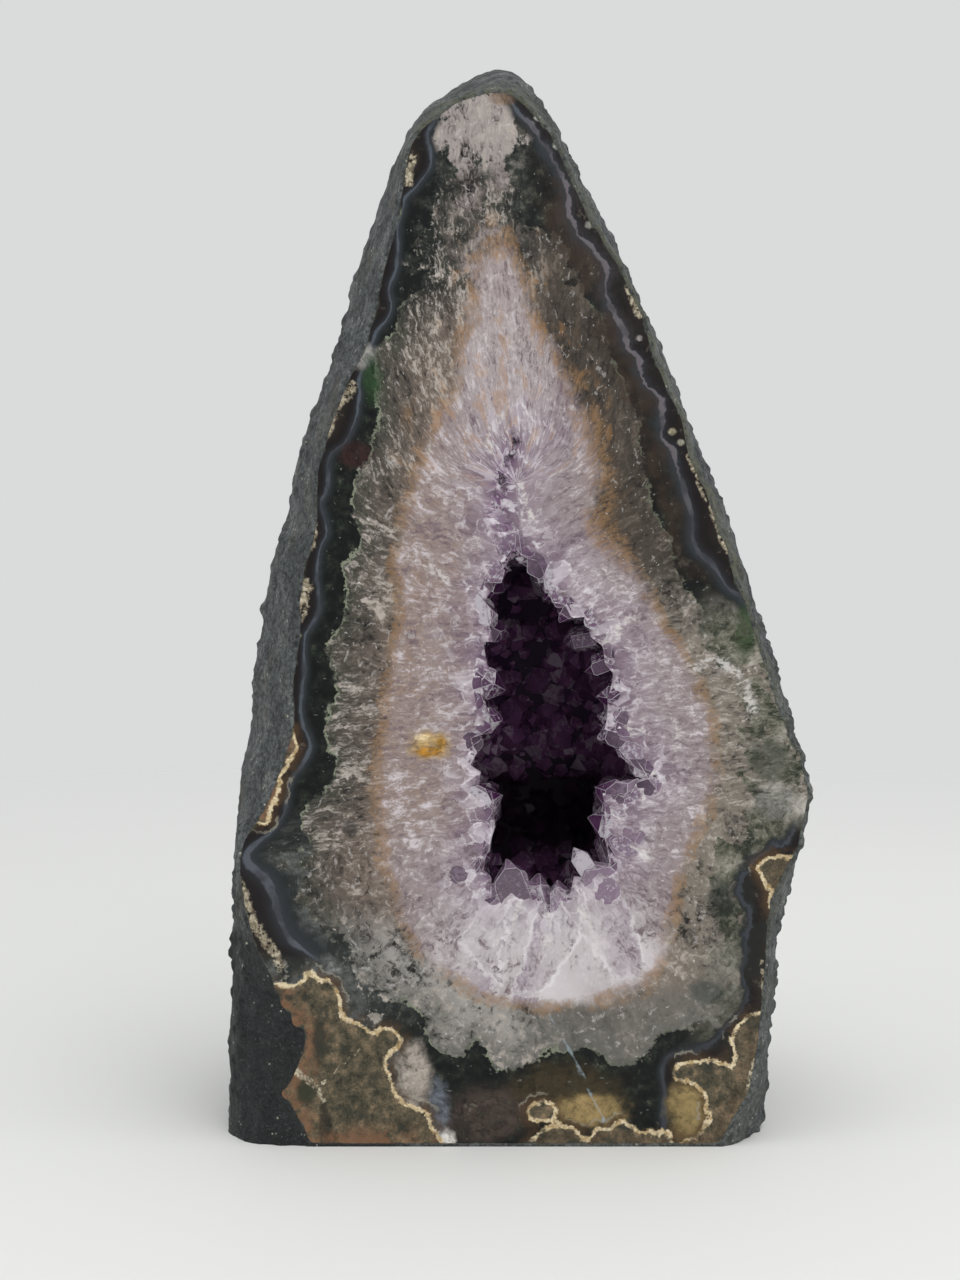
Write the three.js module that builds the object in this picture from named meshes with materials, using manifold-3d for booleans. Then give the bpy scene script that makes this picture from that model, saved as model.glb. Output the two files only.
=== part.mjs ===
// An amethyst cathedral geode: half of a hollow quartz nodule in its basalt rind, stood upright.
// The front is one flat saw cut, polished, and the foot is another, so that it stands by itself.
// Its hollow opens in the polished face and is lined all over with amethyst points.
// Millimetres. +X is to the right of the face, +Y runs into the stone and +Z is up. The part is
// drawn with its face on y = 0 and its foot on z = 0, and moved to the middle of its foot last.
import * as THREE from "three";
import { mergeVertices } from "three/addons/utils/BufferGeometryUtils.js";
import Module from "manifold-3d";

const wasm = await Module();
wasm.setup();

// Driving dimensions of the stone
const STONE_HEIGHT = 260;
const STONE_DEPTH = 116;
const WIDEST_AT = 26; // how far behind the face the stone is at its widest
const STONE_MIDDLE = new THREE.Vector3(2, WIDEST_AT, 100); // all outlines are seen from here
const RIM_ROUNDING = 1.7; // power of the curve from the widest section forward to the face
const SHOULDER_POWER = 1.45; // of the curve to the back: low above, for a cone-like top
const FLANK_POWER = 2.1;
const FOOT_POWER = 2.7; // high below, for a full foot
const SWELL = { size: 46, height: 2.4 }; // broad swellings of the rind
const LUMP = { size: 13, height: 1.25 }; // the lumps on them
const STONE_FACETS = 12; // cuts of each edge of the icosahedron that the stone starts from

// Driving dimensions of the hollow and of its crystal crust
const HOLLOW_DEPTH = 74;
const HOLLOW_MIDDLE = new THREE.Vector3(8, 31, 93);
const HOLLOW_POWER = 2.1;
const HOLLOW_SWELL = { size: 24, height: 2.2 };
const HOLLOW_FACETS = 6;
const LINING_FACETS = 4; // the crust's own wall, mostly hidden under its crystals
const CRUST_THICKNESS = 5;
const CRUST_GAP = 0.3; // clearance between the crust and the stone it grew on
const CRYSTAL_WAYS = 112; // evenly spread directions, each with one crystal where there is wall
const CRYSTAL_RADIUS = { least: 5.6, most: 7.6 };
const CRYSTAL_REACH = { least: 1.5, most: 4.5 }; // from the crust's wall to the crystal's shoulder
const CRYSTAL_ROOT = 1.5; // how deep a crystal's foot is set in the crust
const TIP_HEIGHT = 1.15; // of a crystal's point, in radii: the slope of quartz's end faces
const CRYSTAL_LEAN = 0.26; // greatest lean away from square to the wall
const MOUTH_MARGIN = 2.5; // no crystal has its foot nearer the face than this
const MOUTH_SLANT = 0.35; // how far the mouth's own crystals are turned back into the hollow

// The edge of the polished face, as (x, z) from the foot up the left side and down the right
const FACE_OUTLINE = [
  [-46, -30], [-48, -2], [-54, 11], [-50, 25], [-57, 40], [-65.5, 61], [-66.5, 74], [-60, 84],
  [-54.5, 98], [-53, 116], [-49.5, 145], [-46, 170], [-35.5, 196], [-29, 220], [-25, 240],
  [-18, 247.5], [-3, 253.5], [4, 248], [15.5, 228], [30, 200], [43, 167], [52, 142], [62, 114],
  [69, 92], [69.5, 80], [63, 59], [61, 38], [58, 16], [51, 2], [38, -18],
];
// The widest section of the stone, a little way behind the face
const WIDEST_OUTLINE = [
  [-71, -45], [-71.5, 6], [-71, 45], [-69.5, 73], [-64.5, 110], [-57.5, 150], [-46, 188],
  [-34.5, 226], [-24.5, 249], [-16, 257], [-5, 262.5], [3, 260], [14, 240], [31, 207],
  [45, 173], [59.5, 134], [69, 103], [73, 85], [71, 66], [66.5, 46], [65, 22], [63, -2], [56, -38],
];
// The edge of the hollow in the polished face, where the crust meets the stone
const MOUTH_OUTLINE = [
  [-14, 60], [-17, 90], [-15, 118], [-11, 137], [-2, 149], [10, 146], [19, 134], [29, 118],
  [34, 98], [33, 76], [25, 59], [8, 52],
];
// The same hollow at its widest, in the depth of the stone
const CHAMBER_OUTLINE = [
  [-22, 58], [-27, 90], [-24, 124], [-14, 149], [-2, 162], [12, 158], [25, 142], [37, 120],
  [42, 96], [40, 72], [30, 52], [8, 43],
];

// One number from 0 to 1 for each point of a whole-number lattice, always the same
function latticeValue(i, j, k) {
  const mixed = Math.sin(i * 127.1 + j * 311.7 + k * 74.7) * 43758.5453;
  return mixed - Math.floor(mixed);
}

// Smooth noise between -1 and 1, with features of about the given size
function smoothNoise(place, size) {
  const [x, y, z] = [place.x / size, place.y / size, place.z / size];
  const [i, j, k] = [Math.floor(x), Math.floor(y), Math.floor(z)];
  const ease = (t) => t * t * (3 - 2 * t);
  const [u, v, w] = [ease(x - i), ease(y - j), ease(z - k)];
  const mix = THREE.MathUtils.lerp;
  const along = (b, c) => mix(latticeValue(i, b, c), latticeValue(i + 1, b, c), u);
  const layer = (c) => mix(along(j, c), along(j + 1, c), v);
  return 2 * mix(layer(k), layer(k + 1), w) - 1;
}

// The radius of a closed outline seen from a point inside it, for any angle from +X towards +Z
function radiusByAngle(outline, middle) {
  const curve = new THREE.CatmullRomCurve3(
    outline.map(([x, z]) => new THREE.Vector3(x, 0, z)),
    true,
    "centripetal",
  );
  const seen = curve.getPoints(outline.length * 16).map((p) => {
    const [x, z] = [p.x - middle.x, p.z - middle.z];
    return { angle: Math.atan2(z, x), radius: Math.hypot(x, z) };
  });
  seen.sort((a, b) => a.angle - b.angle);
  const [first, last] = [seen[0], seen[seen.length - 1]];
  seen.unshift({ angle: last.angle - 2 * Math.PI, radius: last.radius });
  seen.push({ angle: first.angle + 2 * Math.PI, radius: first.radius });
  return (angle) => {
    const after = seen.findIndex((s) => s.angle > angle);
    const [a, b] = [seen[after - 1], seen[after]];
    return THREE.MathUtils.mapLinear(angle, a.angle, b.angle, a.radius, b.radius);
  };
}

// Where a ray at a slope to the section meets the curve from the section's rim to its depth
function curveRadius(sectionRadius, depth, along, across, power) {
  const sum = Math.pow(along / sectionRadius, power) + Math.pow(across / depth, power);
  return Math.pow(sum, -1 / power);
}

// How deep such a curve must be to pass the rim of the face at a given distance
function depthThrough(rimRadius, sectionRadius, distance, power) {
  const share = Math.min(rimRadius / sectionRadius, 0.985);
  return distance / Math.pow(1 - Math.pow(share, power), 1 / power);
}

// The stone's curve to the back is cone-like above, round at the flanks and full below
function backPower(rise) {
  const other = rise > 0 ? SHOULDER_POWER : FOOT_POWER;
  return THREE.MathUtils.lerp(FLANK_POWER, other, Math.abs(rise));
}

const faceRadius = radiusByAngle(FACE_OUTLINE, STONE_MIDDLE);
const widestRadius = radiusByAngle(WIDEST_OUTLINE, STONE_MIDDLE);
const mouthRadius = radiusByAngle(MOUTH_OUTLINE, HOLLOW_MIDDLE);
const chamberRadius = radiusByAngle(CHAMBER_OUTLINE, HOLLOW_MIDDLE);

function stoneRadius(way) {
  const angle = Math.atan2(way.z, way.x);
  const along = Math.hypot(way.x, way.z);
  const widest = widestRadius(angle);
  if (way.y < 0) {
    const depth = depthThrough(faceRadius(angle), widest, WIDEST_AT, RIM_ROUNDING);
    return curveRadius(widest, depth, along, -way.y, RIM_ROUNDING);
  }
  const power = backPower(way.z / Math.max(along, 1e-6));
  return curveRadius(widest, STONE_DEPTH - WIDEST_AT, along, way.y, power);
}

function hollowRadius(way) {
  const angle = Math.atan2(way.z, way.x);
  const along = Math.hypot(way.x, way.z);
  const chamber = chamberRadius(angle);
  const toFace = HOLLOW_MIDDLE.y;
  const depth =
    way.y < 0
      ? depthThrough(mouthRadius(angle), chamber, toFace, HOLLOW_POWER)
      : HOLLOW_DEPTH - toFace;
  return curveRadius(chamber, depth, along, Math.abs(way.y), HOLLOW_POWER);
}

// A closed three.js geometry as a manifold solid
function solidOf(geometry) {
  geometry.deleteAttribute("normal");
  geometry.deleteAttribute("uv");
  const merged = mergeVertices(geometry, 1e-4);
  return new wasm.Manifold(
    new wasm.Mesh({
      numProp: 3,
      vertProperties: merged.attributes.position.array,
      triVerts: new Uint32Array(merged.index.array),
    }),
  );
}

// A ball of even triangles drawn out from its middle to a radius for each direction
function drawnOutBall(facets, middle, radiusOf) {
  const ball = new THREE.IcosahedronGeometry(1, facets);
  const places = ball.attributes.position;
  const way = new THREE.Vector3();
  for (let i = 0; i < places.count; i++) {
    way.fromBufferAttribute(places, i).normalize();
    way.multiplyScalar(radiusOf(way)).add(middle);
    places.setXYZ(i, way.x, way.y, way.z);
  }
  return solidOf(ball);
}

// A block far larger than the stone, ending at one of the two saw cuts
function sawnOff(side) {
  const size = 4 * STONE_HEIGHT;
  const block = new THREE.BoxGeometry(size, size, size);
  block.translate(0, side === "face" ? -size / 2 : 0, side === "foot" ? -size / 2 : 0);
  return solidOf(block);
}

function biggestPiece(solid) {
  const pieces = solid.decompose();
  return pieces.reduce((a, b) => (b.volume() > a.volume() ? b : a));
}

function lumpyStone() {
  const start = new THREE.Vector3();
  return drawnOutBall(STONE_FACETS, STONE_MIDDLE, (way) => {
    const radius = stoneRadius(way);
    start.copy(way).multiplyScalar(radius);
    const swell = SWELL.height * smoothNoise(start, SWELL.size) * Math.max(way.y, 0);
    return radius + swell + LUMP.height * smoothNoise(start, LUMP.size);
  });
}

// The hollow with its wall moved in or out by an allowance
function hollow(allowance, facets = HOLLOW_FACETS) {
  const start = new THREE.Vector3();
  return drawnOutBall(facets, HOLLOW_MIDDLE, (way) => {
    const radius = hollowRadius(way);
    start.copy(way).multiplyScalar(radius);
    return radius + allowance + HOLLOW_SWELL.height * smoothNoise(start, HOLLOW_SWELL.size);
  });
}

// One quartz crystal along +Y: a six-sided column with a six-sided point
function crystalColumn(radius, length) {
  const profile = [
    new THREE.Vector2(0, 0),
    new THREE.Vector2(radius, 0),
    new THREE.Vector2(radius, length),
    new THREE.Vector2(0, length + TIP_HEIGHT * radius),
  ];
  return new THREE.LatheGeometry(profile, 6);
}

// The upright line in the middle of the hollow that the crystals point at
function spineBeside(place) {
  const height = THREE.MathUtils.clamp(place.z, HOLLOW_MIDDLE.z - 18, HOLLOW_MIDDLE.z + 34);
  const turnedIn = MOUTH_SLANT * Math.max(HOLLOW_MIDDLE.y - place.y, 0);
  return new THREE.Vector3(HOLLOW_MIDDLE.x - 2, HOLLOW_MIDDLE.y + turnedIn, height);
}

function crystalsOnTheWall() {
  const made = [];
  const goldenAngle = Math.PI * (3 - Math.sqrt(5));
  const pick = (range, share) => THREE.MathUtils.lerp(range.least, range.most, share);
  for (let n = 0; n < CRYSTAL_WAYS; n++) {
    const rise = 1 - (2 * n + 1) / CRYSTAL_WAYS;
    const flat = Math.sqrt(1 - rise * rise);
    const turn = n * goldenAngle;
    const way = new THREE.Vector3(flat * Math.cos(turn), flat * Math.sin(turn), rise);
    const foot = way.clone().multiplyScalar(hollowRadius(way) - CRUST_THICKNESS);
    foot.add(HOLLOW_MIDDLE);
    if (foot.y < MOUTH_MARGIN) continue;
    const chance = (step) => latticeValue(n, step, 7);
    const inward = spineBeside(foot).sub(foot).normalize();
    const lean = new THREE.Vector3(chance(1) - 0.5, chance(2) - 0.5, chance(3) - 0.5);
    inward.addScaledVector(lean, 2 * CRYSTAL_LEAN).normalize();
    const column = crystalColumn(
      pick(CRYSTAL_RADIUS, chance(4)),
      CRYSTAL_ROOT + pick(CRYSTAL_REACH, chance(5)),
    );
    column.rotateY(chance(6) * Math.PI);
    column.applyQuaternion(
      new THREE.Quaternion().setFromUnitVectors(new THREE.Vector3(0, 1, 0), inward),
    );
    foot.addScaledVector(inward, -CRYSTAL_ROOT);
    column.translate(foot.x, foot.y, foot.z);
    made.push(solidOf(column));
  }
  return wasm.Manifold.union(made);
}

function stoneSolid() {
  const sawn = lumpyStone().subtract(sawnOff("face")).subtract(sawnOff("foot"));
  return biggestPiece(sawn.subtract(hollow(CRUST_GAP)));
}

function crustSolid() {
  const lining = hollow(0).subtract(hollow(-CRUST_THICKNESS, LINING_FACETS));
  const grown = lining.add(crystalsOnTheWall()).intersect(hollow(0));
  return biggestPiece(grown.subtract(sawnOff("face")));
}

function meshOf(name, solid, finish) {
  const { vertProperties, triVerts } = solid.getMesh();
  const geometry = new THREE.BufferGeometry();
  geometry.setAttribute("position", new THREE.BufferAttribute(vertProperties, 3));
  geometry.setIndex(new THREE.BufferAttribute(triVerts, 1));
  const mesh = new THREE.Mesh(geometry, new THREE.MeshStandardMaterial(finish));
  mesh.name = name;
  return mesh;
}

const stone = stoneSolid();
const geode = new THREE.Group();
geode.add(meshOf("stone", stone, { color: 0x3b4144, roughness: 0.75, metalness: 0 }));
geode.add(meshOf("crystal_crust", crustSolid(), { color: 0x6d5a80, roughness: 0.15, metalness: 0 }));
const { min, max } = stone.boundingBox();
geode.position.set(-(min[0] + max[0]) / 2, -(min[1] + max[1]) / 2, -min[2]);

export default geode;
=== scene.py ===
import math

import bmesh
import bpy
import numpy as np
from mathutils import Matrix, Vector
from mathutils.geometry import delaunay_2d_cdt


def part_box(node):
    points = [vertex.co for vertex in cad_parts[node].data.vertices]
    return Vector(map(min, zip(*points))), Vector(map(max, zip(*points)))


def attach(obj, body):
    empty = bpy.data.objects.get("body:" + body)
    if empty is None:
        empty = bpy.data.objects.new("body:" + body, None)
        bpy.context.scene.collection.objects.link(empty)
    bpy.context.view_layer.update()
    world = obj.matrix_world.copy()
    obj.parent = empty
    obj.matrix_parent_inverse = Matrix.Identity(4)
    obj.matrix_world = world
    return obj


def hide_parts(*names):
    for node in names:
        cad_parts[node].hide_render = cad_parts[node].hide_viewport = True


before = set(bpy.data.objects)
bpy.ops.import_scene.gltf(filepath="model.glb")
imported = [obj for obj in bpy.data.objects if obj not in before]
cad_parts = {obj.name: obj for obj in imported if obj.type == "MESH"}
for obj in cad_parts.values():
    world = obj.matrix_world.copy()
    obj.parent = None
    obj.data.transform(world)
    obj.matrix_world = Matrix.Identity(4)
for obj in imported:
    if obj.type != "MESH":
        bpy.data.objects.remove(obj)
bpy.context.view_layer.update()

# Where the geode is seen from: about 60 cm away, a little left of its middle, looking 4 degrees down.
# All sizes below are millimetres of one drawing: x to the right along the polished face, y into the
# stone from that face and z up from the foot. placed() turns them into the frame's metres.
MM = 0.001
FACE_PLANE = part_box("stone")[0][1]
BOX_MIDDLE_X = 0.17  # of the stone, in the drawing


def placed(drawn):
    return (np.asarray(drawn, float) - (BOX_MIDDLE_X, 0, 0)) * MM + (0, FACE_PLANE, 0)


EYE_DISTANCE = 600
EYE_PITCH = math.radians(4)
EYE_AIM = (-8.57, 0, 122.6)
FOCAL_LENGTH = 70.9  # for a sensor whose long side is 36 mm
eye = bpy.data.cameras.new("eye")
eye.lens = FOCAL_LENGTH
eye.clip_start = 0.01
eye_object = bpy.data.objects.new("eye", eye)
back_off = np.array([0, -math.cos(EYE_PITCH), math.sin(EYE_PITCH)]) * EYE_DISTANCE
eye_object.location = placed(EYE_AIM + back_off)
eye_object.rotation_euler = (math.pi / 2 - EYE_PITCH, 0, 0)
bpy.context.collection.objects.link(eye_object)
bpy.context.scene.camera = eye_object

# The rind: the skin of dark basalt that the geode grew in, all over its back, sides and top.
# It is broad and lumpy, covered with small round grains, and sawn off in front and below. The saw
# leaves a thin lip of it round the polished face, and the bed that the face's quartz lies in.
STONE_DEPTH = 116
WIDEST_AT = 26
STONE_MIDDLE = np.array([2.0, WIDEST_AT, 100.0])
# Powers of the curves that the skin is rounded by: 2 is a circle's, and a larger one is squarer
RIM_ROUNDING = 1.7
SHOULDER_POWER = 1.45
FLANK_POWER = 2.1
FOOT_POWER = 2.7
# The foot's left corner is squarer: where it is, how wide and how much
SQUARE_CORNER = (math.radians(-125), math.radians(14), 2.0)
SWELLS = ((46, 2.4), (13, 1.25))  # the size and height of the broad swellings and of the lumps
KNOBS = (6.5, 0.5)  # the same of the small knobs
GRAIN_SPACING = 3.1
GRAIN_HEIGHT = 0.52
GRAIN_REST = 0.7  # how far the skin between the grains lies below the outline
SIDE_TRIM = 0.8  # what the grains add too much on the right and at the top
TOP_TRIM = 1.6
TOP_TRIM_FROM = 235
RIND_MESH = 1.12  # width of a face of the rind's mesh
SHORTEST_EDGE = 0.12
NEAR = 1e-3
LIP_WIDTH = 0.8
FACE_GROWTH = 1.2  # what the grains and the saw take off the face's outline, all round
FACE_THICKNESS = 4.0
BED_GAP = 0.05
FACE_OUTLINE = [
    (-46, -30), (-49.5, -2), (-57, 11), (-53, 25), (-59, 40), (-65.5, 61), (-66.5, 74), (-60, 84),
    (-54.5, 98), (-53, 116), (-49.5, 145), (-46, 170), (-35.5, 196), (-29, 220), (-25, 240),
    (-18, 247.5), (-3, 253.5), (4, 248), (15.5, 228), (30, 200), (43, 167), (52, 142), (62, 114),
    (69, 92), (69.5, 80), (63, 59), (61, 38), (58, 16), (51, 2), (38, -18),
]
WIDEST_OUTLINE = [
    (-71, -45), (-71.5, 6), (-71, 45), (-69.5, 73), (-64.5, 110), (-57.5, 150), (-46, 188),
    (-34.5, 226), (-24.5, 249), (-16, 257), (-5, 262.5), (3, 260), (14, 240), (31, 207),
    (45, 173), (59.5, 134), (69, 103), (73, 85), (71, 66), (66.5, 46), (65, 22), (63, -2), (56, -38),
]


def rounded(points, steps):
    """A smooth closed line through the points of an outline."""
    p = np.array(points, float)
    pieces = []
    for i in range(len(p)):
        a, b, c, d = p[i - 1], p[i], p[(i + 1) % len(p)], p[(i + 2) % len(p)]
        t1 = math.sqrt(math.dist(a, b))
        t2 = t1 + math.sqrt(math.dist(b, c))
        t3 = t2 + math.sqrt(math.dist(c, d))
        t = np.linspace(t1, t2, steps, endpoint=False)[:, None]
        ab = ((t1 - t) * a + t * b) / t1
        bc = ((t2 - t) * b + (t - t1) * c) / (t2 - t1)
        cd = ((t3 - t) * c + (t - t2) * d) / (t3 - t2)
        before = ((t2 - t) * ab + t * bc) / t2
        after = ((t3 - t) * bc + (t - t1) * cd) / (t3 - t1)
        pieces.append(((t2 - t) * before + (t - t1) * after) / (t2 - t1))
    return np.vstack(pieces)


def reach_by_angle(outline, middle):
    """How far an outline is from a point inside it, for any angle from +x towards +z."""
    x, z = (rounded(outline, 16) - middle).T
    angle = np.arctan2(z, x)
    order = np.argsort(angle)
    return lambda at: np.interp(at, angle[order], np.hypot(x, z)[order], period=2 * math.pi)


def curved_reach(section, depth, along, across, power):
    """Distance to a skin that curves from the edge of a section to a depth, in a direction."""
    return ((along / section) ** power + (across / depth) ** power) ** (-1 / power)


def depth_through(rim, section, distance, power):
    """The depth that such a curve needs to pass a rim that lies at a distance from the section."""
    share = np.minimum(rim / section, 0.985)
    return distance / (1 - share**power) ** (1 / power)


def chance(i, j, k):
    """A number from 0 to 1 for each whole-number place, always the same."""
    mixed = np.sin(i * 127.1 + j * 311.7 + k * 74.7) * 43758.5453
    return mixed - np.floor(mixed)


def soft_noise(p, size):
    """Smooth noise from -1 to 1 with features of about the given size."""
    cell = np.floor(p / size)
    share = p / size - cell
    u, v, w = (share * share * (3 - 2 * share)).T
    total = np.zeros(len(p))
    for i, j, k in np.ndindex(2, 2, 2):
        weight = (u if i else 1 - u) * (v if j else 1 - v) * (w if k else 1 - w)
        total += weight * chance(*(cell + (i, j, k)).T)
    return 2 * total - 1


def grains(p, spacing, seed, share):
    """Height of the round grains that stick out of the rind, in a share of the cells of a spacing."""
    cell = np.floor(p / spacing)
    height = np.zeros(len(p))
    for step in np.ndindex(3, 3, 3):
        i, j, k = (cell + step - 1).T
        shift = np.stack([chance(i + seed, j, k), chance(i, j + seed, k), chance(i, j, k + seed)], 1)
        middle = (np.stack([i, j, k], 1) + shift) * spacing
        radius = spacing * (0.3 + 0.32 * chance(i + seed, j + seed, k))
        radius = np.where(chance(i, j + seed, k + seed) < share, radius, 1e-3)
        off = np.linalg.norm(p - middle, axis=1) / radius
        height = np.maximum(height, radius * np.sqrt(np.clip(1 - off**2, 0, 1)))
    return height


face_reach = reach_by_angle(FACE_OUTLINE, STONE_MIDDLE[[0, 2]])
widest_reach = reach_by_angle(WIDEST_OUTLINE, STONE_MIDDLE[[0, 2]])


def stone_reach(way):
    """Distance from the stone's middle to its skin, for unit directions."""
    angle = np.arctan2(way[:, 2], way[:, 0])
    along = np.hypot(way[:, 0], way[:, 2])
    widest = widest_reach(angle)
    rise = way[:, 2] / np.maximum(along, 1e-6)
    power = FLANK_POWER + (np.where(rise > 0, SHOULDER_POWER, FOOT_POWER) - FLANK_POWER) * abs(rise)
    corner = np.exp(-(((angle - SQUARE_CORNER[0]) / SQUARE_CORNER[1]) ** 2))
    rim = RIM_ROUNDING + SQUARE_CORNER[2] * corner
    ahead = depth_through(face_reach(angle) + FACE_GROWTH, widest, WIDEST_AT, rim)
    front = curved_reach(widest, ahead, along, np.maximum(-way[:, 1], 0), rim)
    behind = curved_reach(widest, STONE_DEPTH - WIDEST_AT, along, np.maximum(way[:, 1], 0), power)
    reach = np.where(way[:, 1] < 0, front, behind)
    (swell, height), (lump, lump_height) = SWELLS
    skin = way * reach[:, None]
    broad = height * soft_noise(skin, swell) * np.maximum(way[:, 1], 0)
    return reach + broad + lump_height * soft_noise(skin, lump)


def remeshed(name, points, faces, width):
    """A closed mesh made over in even square faces, as (mesh, points, outward normals)."""
    mesh = bpy.data.meshes.new(name)
    mesh.from_pydata(points.tolist(), [], faces)
    lump = bpy.data.objects.new(name, mesh)
    bpy.context.collection.objects.link(lump)
    even = lump.modifiers.new("even", "REMESH")
    even.mode = "VOXEL"
    even.voxel_size = width
    graph = bpy.context.evaluated_depsgraph_get()
    result = bpy.data.meshes.new_from_object(lump.evaluated_get(graph))
    bpy.data.objects.remove(lump)
    p = np.empty(len(result.vertices) * 3)
    result.vertices.foreach_get("co", p)
    normals = np.empty(len(result.vertices) * 3)
    result.vertices.foreach_get("normal", normals)
    return result, p.reshape(-1, 3), normals.reshape(-1, 3)


start = bmesh.new()
bmesh.ops.create_icosphere(start, subdivisions=7, radius=1)
ways = np.array([v.co for v in start.verts])
ways /= np.linalg.norm(ways, axis=1)[:, None]
ball_faces = [[v.index for v in f.verts] for f in start.faces]
start.free()
nodule = STONE_MIDDLE + ways * stone_reach(ways)[:, None]
even_nodule, skin, outward = remeshed("nodule", nodule, ball_faces, RIND_MESH)
grain = grains(skin, GRAIN_SPACING, 5, 0.5) + 0.5 * grains(skin + 40, GRAIN_SPACING * 0.6, 11, 0.6)
smooth_patch = np.clip(0.75 + 0.8 * soft_noise(skin + 90, 21), 0.2, 1.1)
knobs = KNOBS[1] * soft_noise(skin + 13, KNOBS[0])
skin = skin + outward * (GRAIN_HEIGHT * smooth_patch * grain + knobs - GRAIN_REST)[:, None]
skin[:, 0] -= SIDE_TRIM * np.clip(skin[:, 0] / 30, 0, 1)
skin[:, 2] -= TOP_TRIM * np.clip((skin[:, 2] - TOP_TRIM_FROM) / 20, 0, 1)
even_nodule.vertices.foreach_set("co", skin.ravel())

rind_cut = bmesh.new()
rind_cut.from_mesh(even_nodule)
grain_layer = rind_cut.verts.layers.float.new("grain")
for v, g in zip(rind_cut.verts, grain):
    v[grain_layer] = g
for saw in ((0, -1, 0), (0, 0, -1)):
    everything = rind_cut.verts[:] + rind_cut.edges[:] + rind_cut.faces[:]
    bmesh.ops.bisect_plane(
        rind_cut, geom=everything, dist=1e-4, plane_co=(0, 0, 0), plane_no=saw, clear_outer=True
    )
sawn_verts = [v for v in rind_cut.verts if v.is_boundary]
bmesh.ops.remove_doubles(rind_cut, verts=sawn_verts, dist=SHORTEST_EDGE)
for side in (-1, 1):
    ends = [v for v in rind_cut.verts if v.is_boundary and v.co.x * side > 0]
    corner = min(ends, key=lambda v: abs(v.co.y) + abs(v.co.z))
    corner.co.y = corner.co.z = 0


def edge_walk(cut):
    """The vertices of the sawn rind's open edge in order, from its lower left corner up the face."""
    beside = {}
    for e in cut.edges:
        if e.is_boundary:
            a, b = e.verts
            beside.setdefault(a, []).append(b)
            beside.setdefault(b, []).append(a)
    corners = [v for v in beside if abs(v.co.y) < NEAR and abs(v.co.z) < NEAR]
    first = min(corners, key=lambda v: v.co.x)
    walk = [first, max(beside[first], key=lambda v: v.co.z)]
    while True:
        onward = [v for v in beside[walk[-1]] if v is not walk[-2]]
        if onward[0] is first:
            return walk
        walk.append(onward[0])


edge_verts = edge_walk(rind_cut)
walk = np.array([v.co for v in edge_verts])
joined, border = {edge_verts[0]}, [edge_verts[0]]
while border:
    last = border.pop()
    for other in (e.other_vert(last) for e in last.link_edges):
        if other not in joined:
            joined.add(other)
            border.append(other)

# Crumbs that the saw cut loose are taken away, and pits that it opened in the skin are closed
crumbs = [v for v in rind_cut.verts if v not in joined]
bmesh.ops.delete(rind_cut, geom=crumbs, context="VERTS")
edge_verts = set(edge_verts)
loose_edges = [e for e in rind_cut.edges if e.is_boundary and not edge_verts.intersection(e.verts)]
bmesh.ops.holes_fill(rind_cut, edges=loose_edges, sides=0)
right_corner = next(i for i, p in enumerate(walk) if i and abs(p[1]) < NEAR and abs(p[2]) < NEAR)
arch = walk[: right_corner + 1]
steps = int(np.ptp(arch[[0, -1], 0]) / RIND_MESH)
front_edge = np.linspace(arch[-1], arch[0], steps + 1)[1:-1]
face_edge = np.vstack([arch, front_edge])[:, [0, 2]]
foot_edge = np.vstack([walk[right_corner:], walk[:1], front_edge[::-1]])[:, :2]


def spaced(line, step):
    """A closed line made over with points at even steps along it."""
    closed = np.vstack([line, line[:1]])
    way = np.concatenate([[0], np.cumsum(np.linalg.norm(np.diff(closed, axis=0), axis=1))])
    at = np.linspace(0, way[-1], int(way[-1] / step), endpoint=False)
    return np.stack([np.interp(at, way, closed[:, k]) for k in range(2)], 1)


def line_distance(points, line, closed=True):
    """Distance from each point to a line, with a minus sign inside a closed one."""
    line = np.asarray(line, float)
    ends = np.roll(line, -1, axis=0) if closed else line[1:]
    starts = line if closed else line[:-1]
    along = ends - starts
    result = np.empty(len(points))
    for part in range(0, len(points), 4000):
        p = points[part : part + 4000, None, :]
        share = ((p - starts) * along).sum(2) / np.maximum((along**2).sum(1), 1e-12)
        gap = np.linalg.norm(p - starts - np.clip(share, 0, 1)[..., None] * along, axis=2).min(1)
        if closed:
            over = (starts[:, 1] > p[..., 1]) != (ends[:, 1] > p[..., 1])
            slope = np.where(along[:, 1] == 0, 1, along[:, 1])
            crossing = starts[:, 0] + (p[..., 1] - starts[:, 1]) / slope * along[:, 0]
            inside = (over & (p[..., 0] < crossing)).sum(1) % 2 == 1
            gap = np.where(inside, -gap, gap)
        result[part : part + 4000] = gap
    return result


def cross(a, b, c, d):
    """Whether the stretch from a to b crosses the one from c to d."""
    def side(p, q, r):
        return (q[0] - p[0]) * (r[1] - p[1]) - (q[1] - p[1]) * (r[0] - p[0])

    return side(a, b, c) * side(a, b, d) < 0 and side(c, d, a) * side(c, d, b) < 0


def untangled(line):
    """A closed line without the small loops in which it crosses itself."""
    points = list(line)
    n = 0
    while n < len(points) - 3:
        for m in range(n + 2, min(n + 14, len(points) - 1)):
            if cross(points[n], points[n + 1], points[m], points[m + 1]):
                del points[n + 1 : m + 1]
                break
        n += 1
    return np.array(points)


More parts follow.
